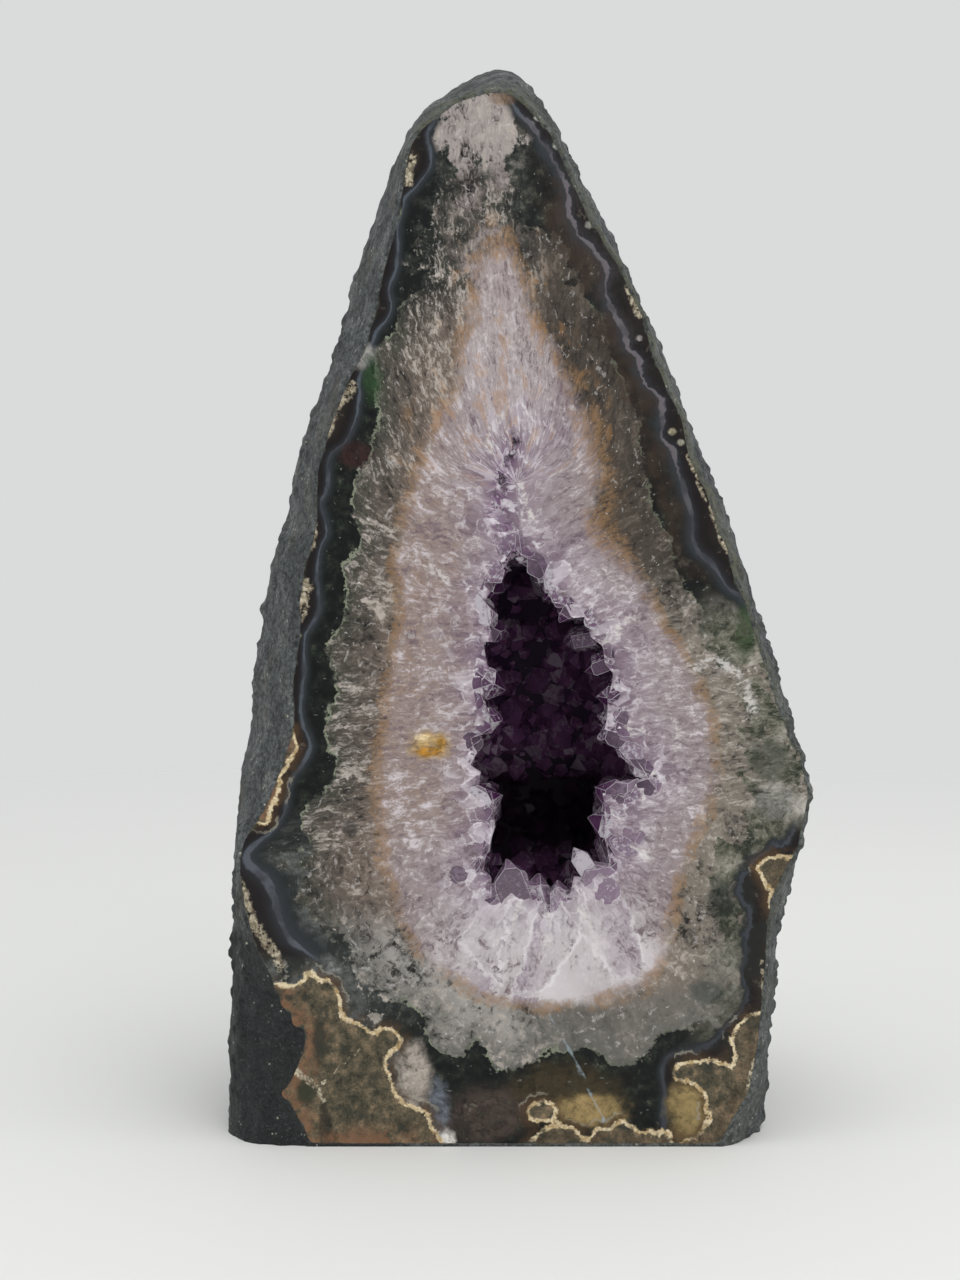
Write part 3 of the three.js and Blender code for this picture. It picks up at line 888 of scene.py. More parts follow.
def fibre_place(points):
    """Where each point lies among the fibres: round their root, as a place on a roll, and outwards."""
    a, b = FIBRE_ROOT
    length = math.dist(a, b)
    axis = (b - a) / length
    side = np.array([axis[1], -axis[0]])
    along = (points - a) @ axis
    across = (points - a) @ side
    over = along - np.clip(along, 0, length)
    out = np.hypot(across, over)
    turn = np.arctan2(over, abs(across))
    rise = abs(across) * FIBRE_RISE * np.clip((along - 40) / 60, 0, 1)
    around = np.clip(along, 0, length) + turn * FIBRE_END - rise
    half = length + FIBRE_END * math.pi
    angle = np.where(across > 0, 1, -1) * (around + FIBRE_END / 2 * math.pi) / half * math.pi
    return np.stack([FIBRE_TURN * np.cos(angle), FIBRE_TURN * np.sin(angle), out], 1)


def store(cut, name, values):
    """Keeps one number for each vertex of a mesh, for its material to read."""
    layer = cut.verts.layers.float.new(name)
    for v, value in zip(cut.verts, values):
        v[layer] = value


flat = np.array([(v.co.x, v.co.z) for v in face_cut.verts])
depths = np.array([v.co.y for v in face_cut.verts])
opening_gap = np.maximum(line_distance(flat, rounded(OPENING, 3)), 0)
store(face_cut, "rim", -line_distance(flat, spaced(face_edge, 0.8)))
store(face_cut, "agate", -line_distance(flat, rounded(AGATE_RING, 4)))
store(face_cut, "quartz", -line_distance(flat, rounded(QUARTZ_RING, 4)))
store(face_cut, "iron", -line_distance(flat, rounded(IRON_RING, 4)))
store(face_cut, "mouth", opening_gap)
store(face_cut, "seam", line_distance(flat, SEAM, False))
store(face_cut, "basalt", np.min([line_distance(flat, rounded(b, 3)) for b in BASALTS], axis=0))
store(face_cut, "cream", np.min([line_distance(flat, s, False) / w for w, s in CREAM_STRIPS], axis=0))
store(face_cut, "crack", line_distance(flat, CRACK, False))
store(face_cut, "frost", np.min([line_distance(flat, s, False) / w for w, s in FROST_STRIPS], axis=0))
store(face_cut, "sunk", depths)
for axis_name, values in zip(("fibre_x", "fibre_y", "fibre_out"), fibre_place(flat).T):
    store(face_cut, axis_name, values)


def polished_cut():
    f = Finish("polished cut")
    fibre = f.add("CombineXYZ", {0: f.value("fibre_x"), 1: f.value("fibre_y"), 2: f.value("fibre_out")})
    drawn = f.add("VectorMath", {0: f.place, 1: (BOX_MIDDLE_X, 0, 0)}, operation="ADD")
    x = f.add("SeparateXYZ", {0: drawn}, 0)
    z = f.add("SeparateXYZ", {0: drawn}, 2)

    def drawn_out(length):
        """The fibres' own place, squeezed along them so that what lies on it is drawn out."""
        return f.add("VectorMath", {0: fibre, 1: (1, 1, 1 / length)}, operation="MULTIPLY")

    def shaken(gap, *waves):
        """A distance made ragged by waves of noise, each given as (size, height)."""
        for size, height in waves:
            swing = f.both(f.swing(f.noise(size, 2)), 2 * height)
            gap = f.sum(gap, swing)
        return gap

    def line(gap, width):
        """1 on a line and 0 beside it."""
        return f.fade(f.size_of(gap), width, width * 0.35)

    def spot(at, size, ragged=0.35, soft=0.55):
        """1 in a rounded spot of the face and 0 outside it."""
        gap = f.calc("POWER", f.calc("DIVIDE", f.less(x, at[0]), size[0]), 2)
        gap = f.sum(gap, f.calc("POWER", f.calc("DIVIDE", f.less(z, at[1]), size[1]), 2))
        gap = f.calc("SQRT", gap)
        return f.fade(shaken(gap, (min(size) * 0.8, ragged)), 1 + soft, 1 - soft)

    # What all the quartz has: clear and cloudy patches, grains and needles that are drawn out along
    # the fibres, facets and thin white flaws, and tiny pale specks painted as glints of light
    sway = f.add("VectorMath", {0: f.noise(4, 3, out="Color"), "Scale": 2.4}, operation="SCALE")

    def swayed(length):
        return f.add("VectorMath", {0: drawn_out(length), 1: sway}, operation="ADD")

    def shards(size, length):
        """Splinters of a size with painted light and shade: how light each is, and how near its edge."""
        where = swayed(length)
        node = {"Vector": where, "Scale": 1 / size}
        middle = f.add("TexVoronoi", node, "Position")
        own = f.add("TexVoronoi", node, "Color")
        off = f.add("VectorMath", {0: where, 1: middle}, operation="SUBTRACT")
        slope = f.add("VectorMath", {0: own, 1: (0.5, 0.5, 0.5)}, operation="SUBTRACT")
        rise = f.add("VectorMath", {0: off, 1: slope}, "Value", operation="DOT_PRODUCT")
        light = f.sum(f.add("SeparateColor", {0: own}, 2), f.both(rise, 1.8 / size))
        return light, f.cells(size, "Distance", "DISTANCE_TO_EDGE", where)

    patches = f.noise(9, 5, 0.6, place=drawn_out(1.5))
    clouds = f.noise(3.4, 4, 0.6, place=swayed(1.8))
    grit = f.noise(0.7, 4, 0.7, place=swayed(2.6))
    near_root = f.fade(f.value("fibre_out"), 3, 12)
    needles = f.noise(0.5, 3, 0.6, place=swayed(5))
    needles = f.sum(0.5, f.both(f.swing(needles), near_root))
    facet = f.add("SeparateColor", {0: f.cells(2.1, "Color", place=swayed(1.8))}, 0)
    small_facet = f.add("SeparateColor", {0: f.cells(0.8, "Color", place=swayed(1.7))}, 1)
    bent = f.add("VectorMath", {0: drawn_out(1.6), 1: f.noise(1.3, 3, out="Color")}, operation="ADD")
    flaw = f.cells(3.2, "Distance", "DISTANCE_TO_EDGE", bent)
    flaws = f.both(f.fade(flaw, 0.05, 0.02), f.fade(f.noise(2.6, 4, 0.65), 0.54, 0.62))
    # Tiny pale specks painted as glints of light
    painted_glints = f.both(f.fade(f.cells(0.7, place=swayed(2)), 0.22, 0.1), f.fade(f.noise(2.4, 3), 0.5, 0.6))
    scratches = f.both(f.fade(needles, 0.58, 0.68), f.fade(f.noise(3.0, 3, 0.6), 0.36, 0.58))

    depth = 0.5
    calm = f.larger(f.fade(z, 158, 150), f.fade(f.value("fibre_out"), 0, 14, 0.4, 1))
    quiet = f.both(f.fade(z, 46, 36), f.fade(x, 0, 12), 0.45)
    calm = f.both(calm, f.less(1, quiet))
    streaks = f.noise(0.9, 4, 0.65, place=swayed(7))
    for part, weight in (
        (patches, 1.1), (clouds, 0.8), (grit, 0.9), (needles, 0.8), (facet, 0.2), (small_facet, 0.26),
        (streaks, 0.7),
    ):
        change = f.both(f.swing(part), calm)
        depth = f.sum(depth, f.both(change, weight))

    def grown(colour, dark, light, scratched):
        """A plain colour with everything in it that quartz has, and painted glints."""
        colour = f.over(colour, dark, f.fade(depth, 0.52, 0.0))
        colour = f.over(colour, light, f.fade(depth, 0.5, 1.0))
        colour = f.over(colour, light, scratches, scratched)
        colour = f.over(colour, (212, 207, 204), flaws, 0.3)
        return f.over(colour, (222, 218, 216), painted_glints, 0.5)

    # The pale quartz round the mouth
    mouth = f.calc("MINIMUM", f.value("mouth"), f.sum(f.value("seam"), 1.0))
    mouth = shaken(mouth, (3.0, 1.4))
    quartz = f.shades(
        mouth,
        (0, 104, 78, 106),
        (1.6, 128, 106, 128),
        (4.5, 146, 131, 141),
        (12, 148, 136, 139),
        (26, 140, 127, 124),
        (50, 134, 120, 113),
    )
    beige = f.both(f.fade(x, -2, -20), f.fade(z, 205, 150), f.fade(z, 66, 84))
    quartz = f.over(quartz, (144, 127, 118), beige, f.fade(mouth, 1, 6), 0.7)
    stained = f.both(beige, f.fade(f.noise(5, 5, 0.65), 0.52, 0.68), f.fade(grit, 0.35, 0.6))
    quartz = f.over(quartz, (146, 116, 88), stained, 0.42)
    quartz = f.over(quartz, (182, 172, 172), spot((-3, 192), (12, 22)), 0.5)
    quartz = f.over(quartz, (200, 194, 196), spot((8, 48), (26, 13)), 0.75)
    # Below the mouth, white columns with painted light and painted shade across each
    column_painted_shading, column_gap = shards(7, 3.2)
    below_mouth = spot((8, 48), (24, 15), 0.3)
    quartz = f.over(quartz, (146, 130, 146), below_mouth, f.fade(column_painted_shading, 0.45, -0.1), 0.6)
    quartz = f.over(quartz, (224, 219, 222), below_mouth, f.fade(column_painted_shading, 0.6, 1.2), 0.7)
    quartz = f.over(quartz, (232, 228, 230), below_mouth, f.fade(column_gap, 0.05, 0.01), 0.5)
    left_fade = f.fade(x, -2, -12, 0.32, 0.16)
    beside_seam = f.both(f.fade(shaken(f.value("seam"), (2, 0.8)), 3.4, 0.4), f.fade(z, 172, 164))
    quartz = f.over(quartz, (122, 90, 122), beside_seam, 0.7)
    colour = grown(quartz, (108, 93, 99), (200, 191, 195), left_fade)
    # Splinters near the mouth with painted light and painted shade across each
    light, gap = shards(5.2, 1.7)
    small_painted_shading, small_gap = shards(2.6, 1.6)
    clear = f.fade(f.sum(mouth, f.both(clouds, 18)), 26, 9)
    colour = f.over(colour, (104, 84, 102), clear, f.fade(light, 0.45, -0.1), 0.62)
    colour = f.over(colour, (208, 200, 208), clear, f.fade(light, 0.6, 1.2), 0.62)
    colour = f.over(colour, (104, 86, 102), clear, f.fade(small_painted_shading, 0.4, -0.1), 0.4)
    colour = f.over(colour, (216, 209, 215), clear, f.fade(small_painted_shading, 0.65, 1.2), 0.5)
    edges = f.larger(f.fade(gap, 0.06, 0.015), f.both(f.fade(small_gap, 0.05, 0.015), 0.7))
    edges = f.both(edges, clear, f.fade(f.noise(2.6, 3), 0.48, 0.6))
    colour = f.over(colour, (230, 225, 229), edges, 0.65)

    # Greyer quartz outside the ochre line, darker towards its rim, and the line itself
    iron = shaken(f.value("iron"), (10, 2.8), (3, 1.4), (1.0, 0.8))
    ring = shaken(f.value("quartz"), (6, 2.2), (1.7, 1.5), (0.6, 0.6))
    outer = f.shades(
        ring, (0, 66, 67, 59), (4, 80, 75, 68), (11, 102, 91, 83),
        (24, 132, 118, 109),
    )
    bright_side = f.both(f.fade(x, 24, 34), f.fade(z, 146, 118), f.fade(z, 30, 60, 0.5, 1))
    outer = f.over(outer, (130, 122, 112), bright_side, 0.8)
    dark_side = f.both(f.fade(x, 0, 10), f.fade(z, 128, 150))
    outer = f.over(outer, (64, 57, 50), dark_side, 0.9)
    below = f.sum(z, f.both(f.larger(x, -30), 0.5))
    below = f.both(f.fade(below, 46, 30), f.fade(x, 16, -2))
    outer = f.over(outer, (156, 153, 148), below, f.fade(ring, 0, 10, 0.35, 0.9))
    low_middle = f.both(f.fade(z, 42, 34), f.fade(x, -4, 6))
    outer = f.over(outer, (108, 106, 101), low_middle, 0.7)
    marble = f.noise(6, 6, 0.68, place=swayed(1.3))
    off_middle = f.size_of(f.sum(x, 8))
    marble = f.sum(marble, f.fade(off_middle, 12, 3, -0.11, 0.05))
    marble = f.shades(
        marble, (0.38, 22, 28, 26), (0.46, 58, 58, 53), (0.54, 96, 88, 83),
        (0.64, 146, 136, 134),
    )
    outer = f.over(outer, marble, f.fade(z, 194, 208), f.fade(x, 8, 0), 0.9)
    outer = f.over(outer, (160, 151, 147), f.fade(z, 230, 237), 0.9)
    light = f.over((174, 165, 156), (96, 87, 78), dark_side)
    outer = grown(outer, (34, 32, 30), light, 0.28)
    colour = f.over(outer, colour, f.fade(iron, -1.5, 2.5))
    wide_rust = f.both(f.fade(x, 8, 14), f.fade(z, 136, 150), f.fade(z, 196, 184))
    iron_line = f.calc("DIVIDE", iron, f.sum(1, f.both(wide_rust, 1.0)))
    rust = f.both(line(iron_line, 2.4), f.fade(f.noise(8, 5, 0.65), 0.36, 0.54))
    rust = f.both(rust, f.fade(grit, 0.36, 0.58, 0.1, 1))
    colour = f.over(colour, (142, 110, 77), rust, 0.62)
    drips = f.both(f.fade(clouds, 0.55, 0.66), f.fade(z, 150, 175), f.fade(z, 236, 215))
    drips = f.both(drips, f.fade(iron, -9, -2))
    colour = f.over(colour, (160, 118, 70), drips, 0.4)

    # Dark chalcedony outside the quartz: green and mossy, brown on the right above, slate below left
    moss = f.noise(2.6, 6, 0.7)
    green = f.shades(
        moss, (0.34, 9, 12, 12), (0.5, 20, 23, 22), (0.6, 33, 38, 32),
        (0.69, 64, 68, 58), (0.78, 146, 146, 138),
    )
    brown_side = f.both(f.fade(x, -2, 8), f.fade(z, 120, 140))
    brown = f.shades(moss, (0.3, 17, 15, 13), (0.55, 38, 33, 29), (0.75, 88, 80, 71))
    green = f.over(green, brown, brown_side, f.fade(f.noise(12, 4), 0.36, 0.56), 0.95)
    slate = f.both(f.fade(z, 84, 66), f.fade(x, -20, -34))
    feather = f.noise(4.6, 6, 0.7, place=drawn_out(2.4))
    cold = f.shades(
        f.sum(feather, f.both(f.swing(streaks), 0.5)),
        (0.3, 28, 32, 32), (0.46, 52, 55, 53), (0.6, 96, 98, 96),
        (0.78, 162, 164, 165),
    )
    green = f.over(green, cold, slate, 0.85)
    mottled = f.both(f.fade(x, 40, 48), f.fade(z, 136, 124), f.fade(z, 36, 60, 0.6, 1))
    curdled = f.noise(5, 7, 0.72, place=swayed(1.5))
    curdled = f.sum(curdled, f.both(f.swing(depth), 0.2))
    pale = f.shades(
        curdled, (0.32, 26, 30, 25), (0.43, 64, 67, 55), (0.52, 108, 106, 94),
        (0.62, 150, 145, 135), (0.76, 188, 183, 175),
    )
    green = f.over(green, pale, mottled, 0.9)
    mixed = f.sum(moss, f.both(f.fade(z, 224, 234), 0.06))
    mixed = f.sum(mixed, f.fade(x, -13, -20, 0, -0.1))
    mixed = f.shades(mixed, (0.4, 18, 22, 21), (0.54, 56, 59, 54), (0.68, 124, 120, 113))
    green = f.over(green, mixed, f.fade(z, 196, 218), f.fade(x, 6, -2), 0.85)
    green = f.over(green, (150, 150, 142), scratches, f.larger(mottled, slate), 0.35)
    # The painted glints in the chalcedony too
    green = f.over(green, (150, 152, 146), painted_glints, 0.5)
    spread = f.fade(z, 196, 214, 0, f.fade(z, 226, 234, 1, 0.45))
    spread = f.larger(spread, f.both(slate, 0.5), f.both(mottled, 0.8))
    spread = f.larger(spread, f.both(f.fade(z, 34, 24), 0.15))
    loose = f.both(f.swing(f.noise(7, 4, 0.6)), f.both(spread, 44))
    top_patch = f.larger(spot((-10, 242), (8, 8), 0.5), f.both(spot((-8, 232), (5, 5), 0.5), 0.8))
    top_patch = shaken(top_patch, (1.8, 0.3), (0.7, 0.2))
    edge = f.sum(f.larger(ring, f.less(f.both(top_patch, 7), 2.4)), loose)
    colour = f.over(green, colour, f.fade(edge, -0.4, 0.6))
    seen = f.both(f.fade(f.noise(4, 2), 0.38, 0.55), f.fade(spread, 0.5, 0.05), f.fade(x, 30, 10, 0.4, 1))
    colour = f.over(colour, (132, 138, 118), line(edge, 0.42), seen, 0.85)

    # Agate between that and the lip, nearly black outside its thin blue-grey band
    band = shaken(f.value("agate"), (5, 0.5), (1.4, 0.2))
    uneven = f.both(f.fade(x, 30, 44), f.fade(z, 100, 80), f.swing(f.noise(8, 4, 0.6)))
    band = f.sum(band, f.both(uneven, 9))
    wobble = f.both(f.swing(f.noise(3.5, 2)), brown_side, f.fade(z, 150, 170))
    band = f.sum(band, f.both(wobble, 3.4))
    wide = f.both(f.fade(z, 76, 66), f.fade(x, -10, -22), f.fade(z, 44, 50))
    band = f.calc("DIVIDE", band, f.sum(0.8, f.sum(f.both(wide, 1.5), f.both(brown_side, 0.5))))
    agate = f.shades(
        band,
        (-6, 45, 39, 34),
        (-2.4, 26, 21, 21),
        (-0.7, 30, 27, 29),
        (0.4, 48, 51, 55),
        (1.4, 36, 40, 42),
        (2.6, 26, 30, 30),
    )
    purple = f.both(brown_side, f.fade(z, 180, 194), f.fade(z, 236, 224), f.fade(band, -3.6, -0.6))
    agate = f.over(agate, (60, 53, 53), purple, f.fade(f.noise(5, 4), 0.35, 0.6), 0.45)
    agate = f.over(agate, (104, 98, 88), f.fade(moss, 0.58, 0.72), f.fade(band, -1, -2), 0.7)
    dull = f.both(f.fade(x, 30, 44), f.fade(z, 100, 84), f.fade(f.noise(6, 4), 0.4, 0.56))
    agate = f.over(agate, (34, 36, 33), dull, 0.8)
    rim_only = f.both(f.fade(x, 40, 50), f.fade(z, 76, 82), f.fade(z, 132, 126))
    rim_only = f.larger(rim_only, f.both(f.fade(z, 244, 247), f.fade(x, 0, -6)))
    rim_only = f.larger(rim_only, f.both(f.fade(z, 48, 44), f.fade(x, -6, -12)))
    shown = f.less(1, rim_only)
    colour = f.over(colour, agate, f.fade(band, 3.2, 0.9), shown)
    vein_width = f.fade(f.noise(7, 3), 0.36, 0.64, 0.22, 0.75)
    right = f.fade(x, -2, 8)
    low_right = f.both(right, f.fade(z, 100, 60))
    vein_width = f.sum(vein_width, f.both(low_right, 0.3))
    vein = f.fade(f.calc("DIVIDE", f.size_of(band), vein_width), 1.0, 0.5)
    halo = f.both(f.fade(f.size_of(band), 1.6, 0.3), shown, 0.4)
    colour = f.over(colour, (49, 53, 58), halo)
    vein = f.both(vein, shown, f.fade(f.noise(9, 4, 0.6), 0.38, 0.54, 0.3, 1))
    vein_colour = f.over((78, 84, 92), (86, 88, 96), wide)
    right_colour = f.over((77, 79, 86), (104, 99, 104), f.fade(z, 146, 172))
    vein_colour = f.over(vein_colour, right_colour, right)
    vein_colour = f.over(vein_colour, (58, 61, 67), low_right)
    colour = f.over(colour, vein_colour, vein, 0.9)
    amber = f.both(brown_side, f.fade(z, 132, 150), line(f.less(band, 2.8), 3.2))
    colour = f.over(colour, (64, 50, 41), amber, f.fade(f.noise(9, 4), 0.38, 0.6), 0.5)

    # Spots that each have a place of their own
    for at, size, shade, share in (
        ((-3.5, 250), (3, 1.6), (116, 92, 72), 0.7),
        ((-36.5, 190), (3, 3), (150, 147, 142), 0.75),
        ((-34, 184), (2.4, 5.5), (38, 60, 36), 0.8),
        ((-38, 166.5), (4, 3), (52, 32, 30), 0.7),
        ((54.5, 124.5), (2.4, 6.5), (46, 62, 38), 0.8),
        ((60.5, 94), (4.6, 5), (60, 66, 56), 0.75),
        ((62, 84), (5, 4), (150, 147, 142), 0.6),
        ((-20.5, 97.5), (4.8, 3.2), (172, 143, 90), 0.85),
        ((-20.8, 95.8), (2.9, 1.2), (160, 112, 30), 0.9),
        ((-17.8, 98), (1.1, 1.6), (168, 124, 48), 0.8),
        ((-22.5, 99.2), (1.8, 0.8), (208, 188, 150), 0.7),
        ((12.5, 13), (13, 7), (74, 62, 42), 0.55),
        ((18, 9), (8, 3.6), (158, 136, 92), 0.85),
        ((42, 9.5), (5, 7), (152, 132, 88), 0.85),
        ((51, 8), (4, 2.2), (158, 138, 88), 0.7),
        ((-24.5, 17), (4, 8), (168, 158, 148), 0.85),
        ((-18.5, 9), (2.6, 7), (104, 110, 120), 0.75),
        ((-16.5, 2), (2, 2.2), (200, 196, 190), 0.9),
        ((61, 68), (4, 2), (150, 116, 78), 0.8),
        ((49.4, 60.5), (3.4, 4.6), (46, 52, 46), 0.8),
        ((49.5, 45), (4, 5), (132, 130, 120), 0.6),
        ((-7, 8), (9, 6.5), (72, 61, 55), 0.75),
        ((46, 38), (4, 3), (60, 66, 62), 0.7),
        ((-39.5, 77.5), (1.8, 2.2), (52, 50, 48), 0.8),
        ((5, 245.5), (0.8, 0.8), (190, 188, 180), 0.9),
        ((9.5, 239), (0.9, 0.9), (190, 188, 180), 0.9),
        ((13, 232.5), (0.7, 1.0), (150, 148, 136), 0.9),
        ((17, 220.5), (0.8, 0.8), (150, 150, 140), 0.8),
        ((29, 194), (0.8, 0.6), (140, 134, 130), 0.8),
        ((37, 172), (0.9, 0.8), (160, 152, 128), 0.9),
        ((39, 169.5), (0.8, 0.7), (176, 172, 156), 0.9),
    ):
        mask = f.both(spot(at, size, 0.45, 0.4), f.fade(grit, 0.3, 0.52, 0.5, 1), share)
        plain = paint(*shade)[:3]
        dim = [0.5 * c for c in plain] + [1]
        lit = [min(1.5 * c, 1) for c in plain] + [1]
        colour = f.over(colour, f.over(dim, lit, f.fade(depth, 0.0, 1.0)), mask)

    # Frosty edges of crystals in the quartz, and painted highlights and painted shade on the broken facets
    frost = f.fade(shaken(f.value("frost"), (3.5, 1.3), (0.9, 0.9)), 1.25, 0.2)
    frost = f.both(frost, f.fade(f.noise(1.1, 4, 0.65, place=swayed(2)), 0.42, 0.6))
    colour = f.over(colour, (212, 207, 203), frost, 0.75)
    broken = f.fade(f.value("sunk"), 0.1, 0.7)
    colour = f.over(colour, (222, 216, 220), broken, f.fade(small_painted_shading, 0.3, 1.0), 0.7)
    colour = f.over(colour, (96, 78, 94), broken, f.fade(light, 0.4, 0.0), 0.5)

    # Basalt that the geode grew round, edged in cream
    rock_gap = shaken(f.value("basalt"), (4.5, 1.0), (1.4, 0.9), (0.45, 0.45))
    grain = f.sum(f.noise(3.0, 6, 0.7), f.both(f.swing(f.noise(0.5, 3)), 0.3))
    rock = f.shades(
        grain, (0.32, 40, 40, 33), (0.47, 76, 71, 57),
        (0.57, 100, 90, 72), (0.74, 144, 120, 94),
    )
    red = f.fade(shaken(f.value("rim"), (8, 3.5), (2, 1)), 7, 1.0)
    left = f.fade(x, -10, -30, 0.15, 0.7)
    rock = f.over(rock, (128, 92, 68), red, left, f.fade(moss, 0.35, 0.55))
    rock = f.over(rock, (46, 49, 43), f.fade(f.noise(5.5, 3), 0.56, 0.66), 0.7)
    halo = f.both(f.fade(rock_gap, 3.4, 0.3), f.fade(f.noise(5, 3), 0.35, 0.6), 0.85)
    colour = f.over(colour, (78, 60, 42), halo)
    second_line = f.both(line(f.less(rock_gap, 2.2), 0.4), f.fade(f.noise(6, 2), 0.5, 0.6))
    colour = f.over(colour, (150, 146, 132), second_line, 0.5)
    colour = f.over(colour, rock, f.fade(rock_gap, 0.2, -0.2))
    for at, size, shade, share in (
        ((-47.2, 26), (1.7, 5), (44, 48, 42), 0.85),
        ((-50.3, 13.5), (2.3, 2.6), (48, 52, 40), 0.85),
        ((-46, 6), (1.4, 4), (40, 36, 32), 0.7),
        ((60, 12), (1.6, 4), (150, 150, 138), 0.6),
    ):
        colour = f.over(colour, shade, spot(at, size, 0.5, 0.4), share)
    cream = f.both(line(rock_gap, 0.68), f.fade(f.noise(3, 4), 0.3, 0.48, 0.15, 1))
    cream_colour = f.over((168, 142, 98), (226, 210, 176), f.fade(grit, 0.36, 0.62))
    colour = f.over(colour, cream_colour, cream, 0.92)
    strip = f.fade(shaken(f.value("cream"), (3, 0.4), (0.9, 0.4)), 0.7, 0.3)
    strip = f.both(strip, f.fade(f.noise(1.1, 5, 0.7), 0.4, 0.5))
    strip_colour = f.over((112, 100, 82), (200, 190, 166), f.fade(grit, 0.35, 0.65))
    colour = f.over(colour, strip_colour, strip, 0.9)
    crack = line(shaken(f.value("crack"), (5, 0.8), (1.2, 0.3)), 0.55)
    colour = f.over(colour, (152, 168, 176), crack, f.fade(clouds, 0.35, 0.6), 0.7)

    # Basalt along the lip
    lip = shaken(f.value("rim"), (2.4, 0.9), (0.8, 0.35))
    lip_colour = f.shades(moss, (0.35, 36, 39, 36), (0.55, 72, 76, 66), (0.75, 136, 136, 112))
    colour = f.over(colour, lip_colour, f.fade(lip, 1.1, 0.5))
    rough = f.larger(f.fade(ring, -2, 3, 0.14, 0.32), f.fade(rock_gap, 0.5, -0.5, 0, 0.5))
    ripple = f.bump(grit, 0.3, 0.16)
    ripple = f.bump(facet, f.fade(mouth, 9, 2, 0.05, 0.5), 0.5, ripple)
    return f.finish(Base_Color=colour, Roughness=rough, Normal=ripple, Specular_IOR_Level=0.16)


lay_down("polished_face", face_cut, polished_cut(), "banded_stone", "stone", smooth=False)

# The wall of the hollow, behind its crystals: the quartz that they stand on, pale at the mouth and
# deep purple inside.
wall_out, wall_out_faces = cup(-0.3, bed_level)
wall_in, wall_in_faces = cup(-CRUST_THICKNESS, bed_level)
rim_ring = band_between(wall_out[:WALL_AROUND], wall_in[:WALL_AROUND])
wall_cut = whole([(wall_out, wall_out_faces), (wall_in, wall_in_faces), rim_ring])


def hollow_wall():
    f = Finish("hollow wall")
    depth = f.axis(1)
    start = FACE_PLANE / MM
    base = f.shades(
        depth,
        (start, 178, 158, 184),
        (start + 7, 140, 116, 150),
        (start + 16, 84, 62, 92),
        (start + 70, 60, 42, 68),
    )
    base = f.over(base, (44, 30, 50), f.fade(f.noise(4, 3), 0.4, 0.7, 0, 0.5))
    # Painted shade, nearly black, low in the hollow
    height = f.axis(2)
    base = f.over(base, (20, 13, 22), f.fade(height, 94, 80, 0, 0.9))
    bumps = f.bump(f.noise(1.5, 3), 0.5, 0.4)
    return f.finish(Base_Color=base, Roughness=0.5, Specular_IOR_Level=0.12, Normal=bumps)


lay_down("hollow_wall", wall_cut, hollow_wall(), "amethyst", "crystal_crust", smooth=False)

# The crystals: points of quartz that stand on the hollow's wall, each a six-sided column that ends
# in three broad faces and three narrow ones. They are clear, lavender at the mouth and deep purple
# inside, and those at the face were cut and polished with it.
FACE_SLOPE = math.radians(51.8)  # of a point's faces, away from square to the crystal
CRYSTAL_KINDS = 14
SAWN_DEPTHS = (0.06, 0.7)  # how far behind the polish the cut crystals end
# How much the painted light differs between the sawn crystals' faces, and their edges' painted highlights
SAWN_CONTRAST = 1.15
BROAD_FACE = 1.6  # area from which a face of theirs has painted highlights along its edges
EDGE_WIDTH = 0.1
EDGE_GLINT = 1.05
rng = np.random.default_rng(4346)


def sawn_off(corners, place, way):
    """The corners of a solid with no hollows in it, once a flat cut has taken one side off."""
    solid = bmesh.new()
    bmesh.ops.convex_hull(solid, input=[solid.verts.new(p) for p in corners])
    parts = solid.verts[:] + solid.edges[:] + solid.faces[:]
    bmesh.ops.bisect_plane(solid, geom=parts, dist=1e-5, plane_co=place, plane_no=way, clear_outer=True)
    left = np.array([v.co for v in solid.verts])
    solid.free()
    return left


def crystal_kind():
    """The corners of one crystal of radius 1 along +z, its tip at the origin and its root far below."""
    turns = np.radians(60) * np.arange(6)
    squash = rng.uniform(0.8, 1.0)
    ends = [(squash * math.cos(t), math.sin(t), z) for z in (-6, 4) for t in turns]
    corners = np.array(ends)
    for n, turn in enumerate(turns + math.radians(30)):
        out = rng.uniform(-0.1, 0.1) if n % 2 == 0 else rng.uniform(-0.05, 0.4)
        flat = math.sin(FACE_SLOPE)
        way = np.array([flat * math.cos(turn), flat * math.sin(turn), math.cos(FACE_SLOPE)])
        corners = sawn_off(corners, way * out * 0.5, way)
    return corners - corners[corners[:, 2].argmax()] * (0, 0, 1)


kinds = [crystal_kind() for _ in range(CRYSTAL_KINDS)]


def crystal(tip, growth, radius, length, paler=0.0):
    """The corners of a crystal with its tip at a place, and what tells how pale each should be."""
    corners = kinds[rng.integers(CRYSTAL_KINDS)].copy()
    corners[corners[:, 2] < -4, 2] = -length / radius
    growth = np.asarray(growth, float) / np.linalg.norm(growth)
    across = np.cross(growth, rng.normal(size=3))
    across /= np.linalg.norm(across)
    turned = corners[:, :1] * across + corners[:, 1:2] * np.cross(growth, across)
    place = np.asarray(tip) + (turned + corners[:, 2:] * growth) * radius
    return place, np.asarray(tip) + growth * paler, growth


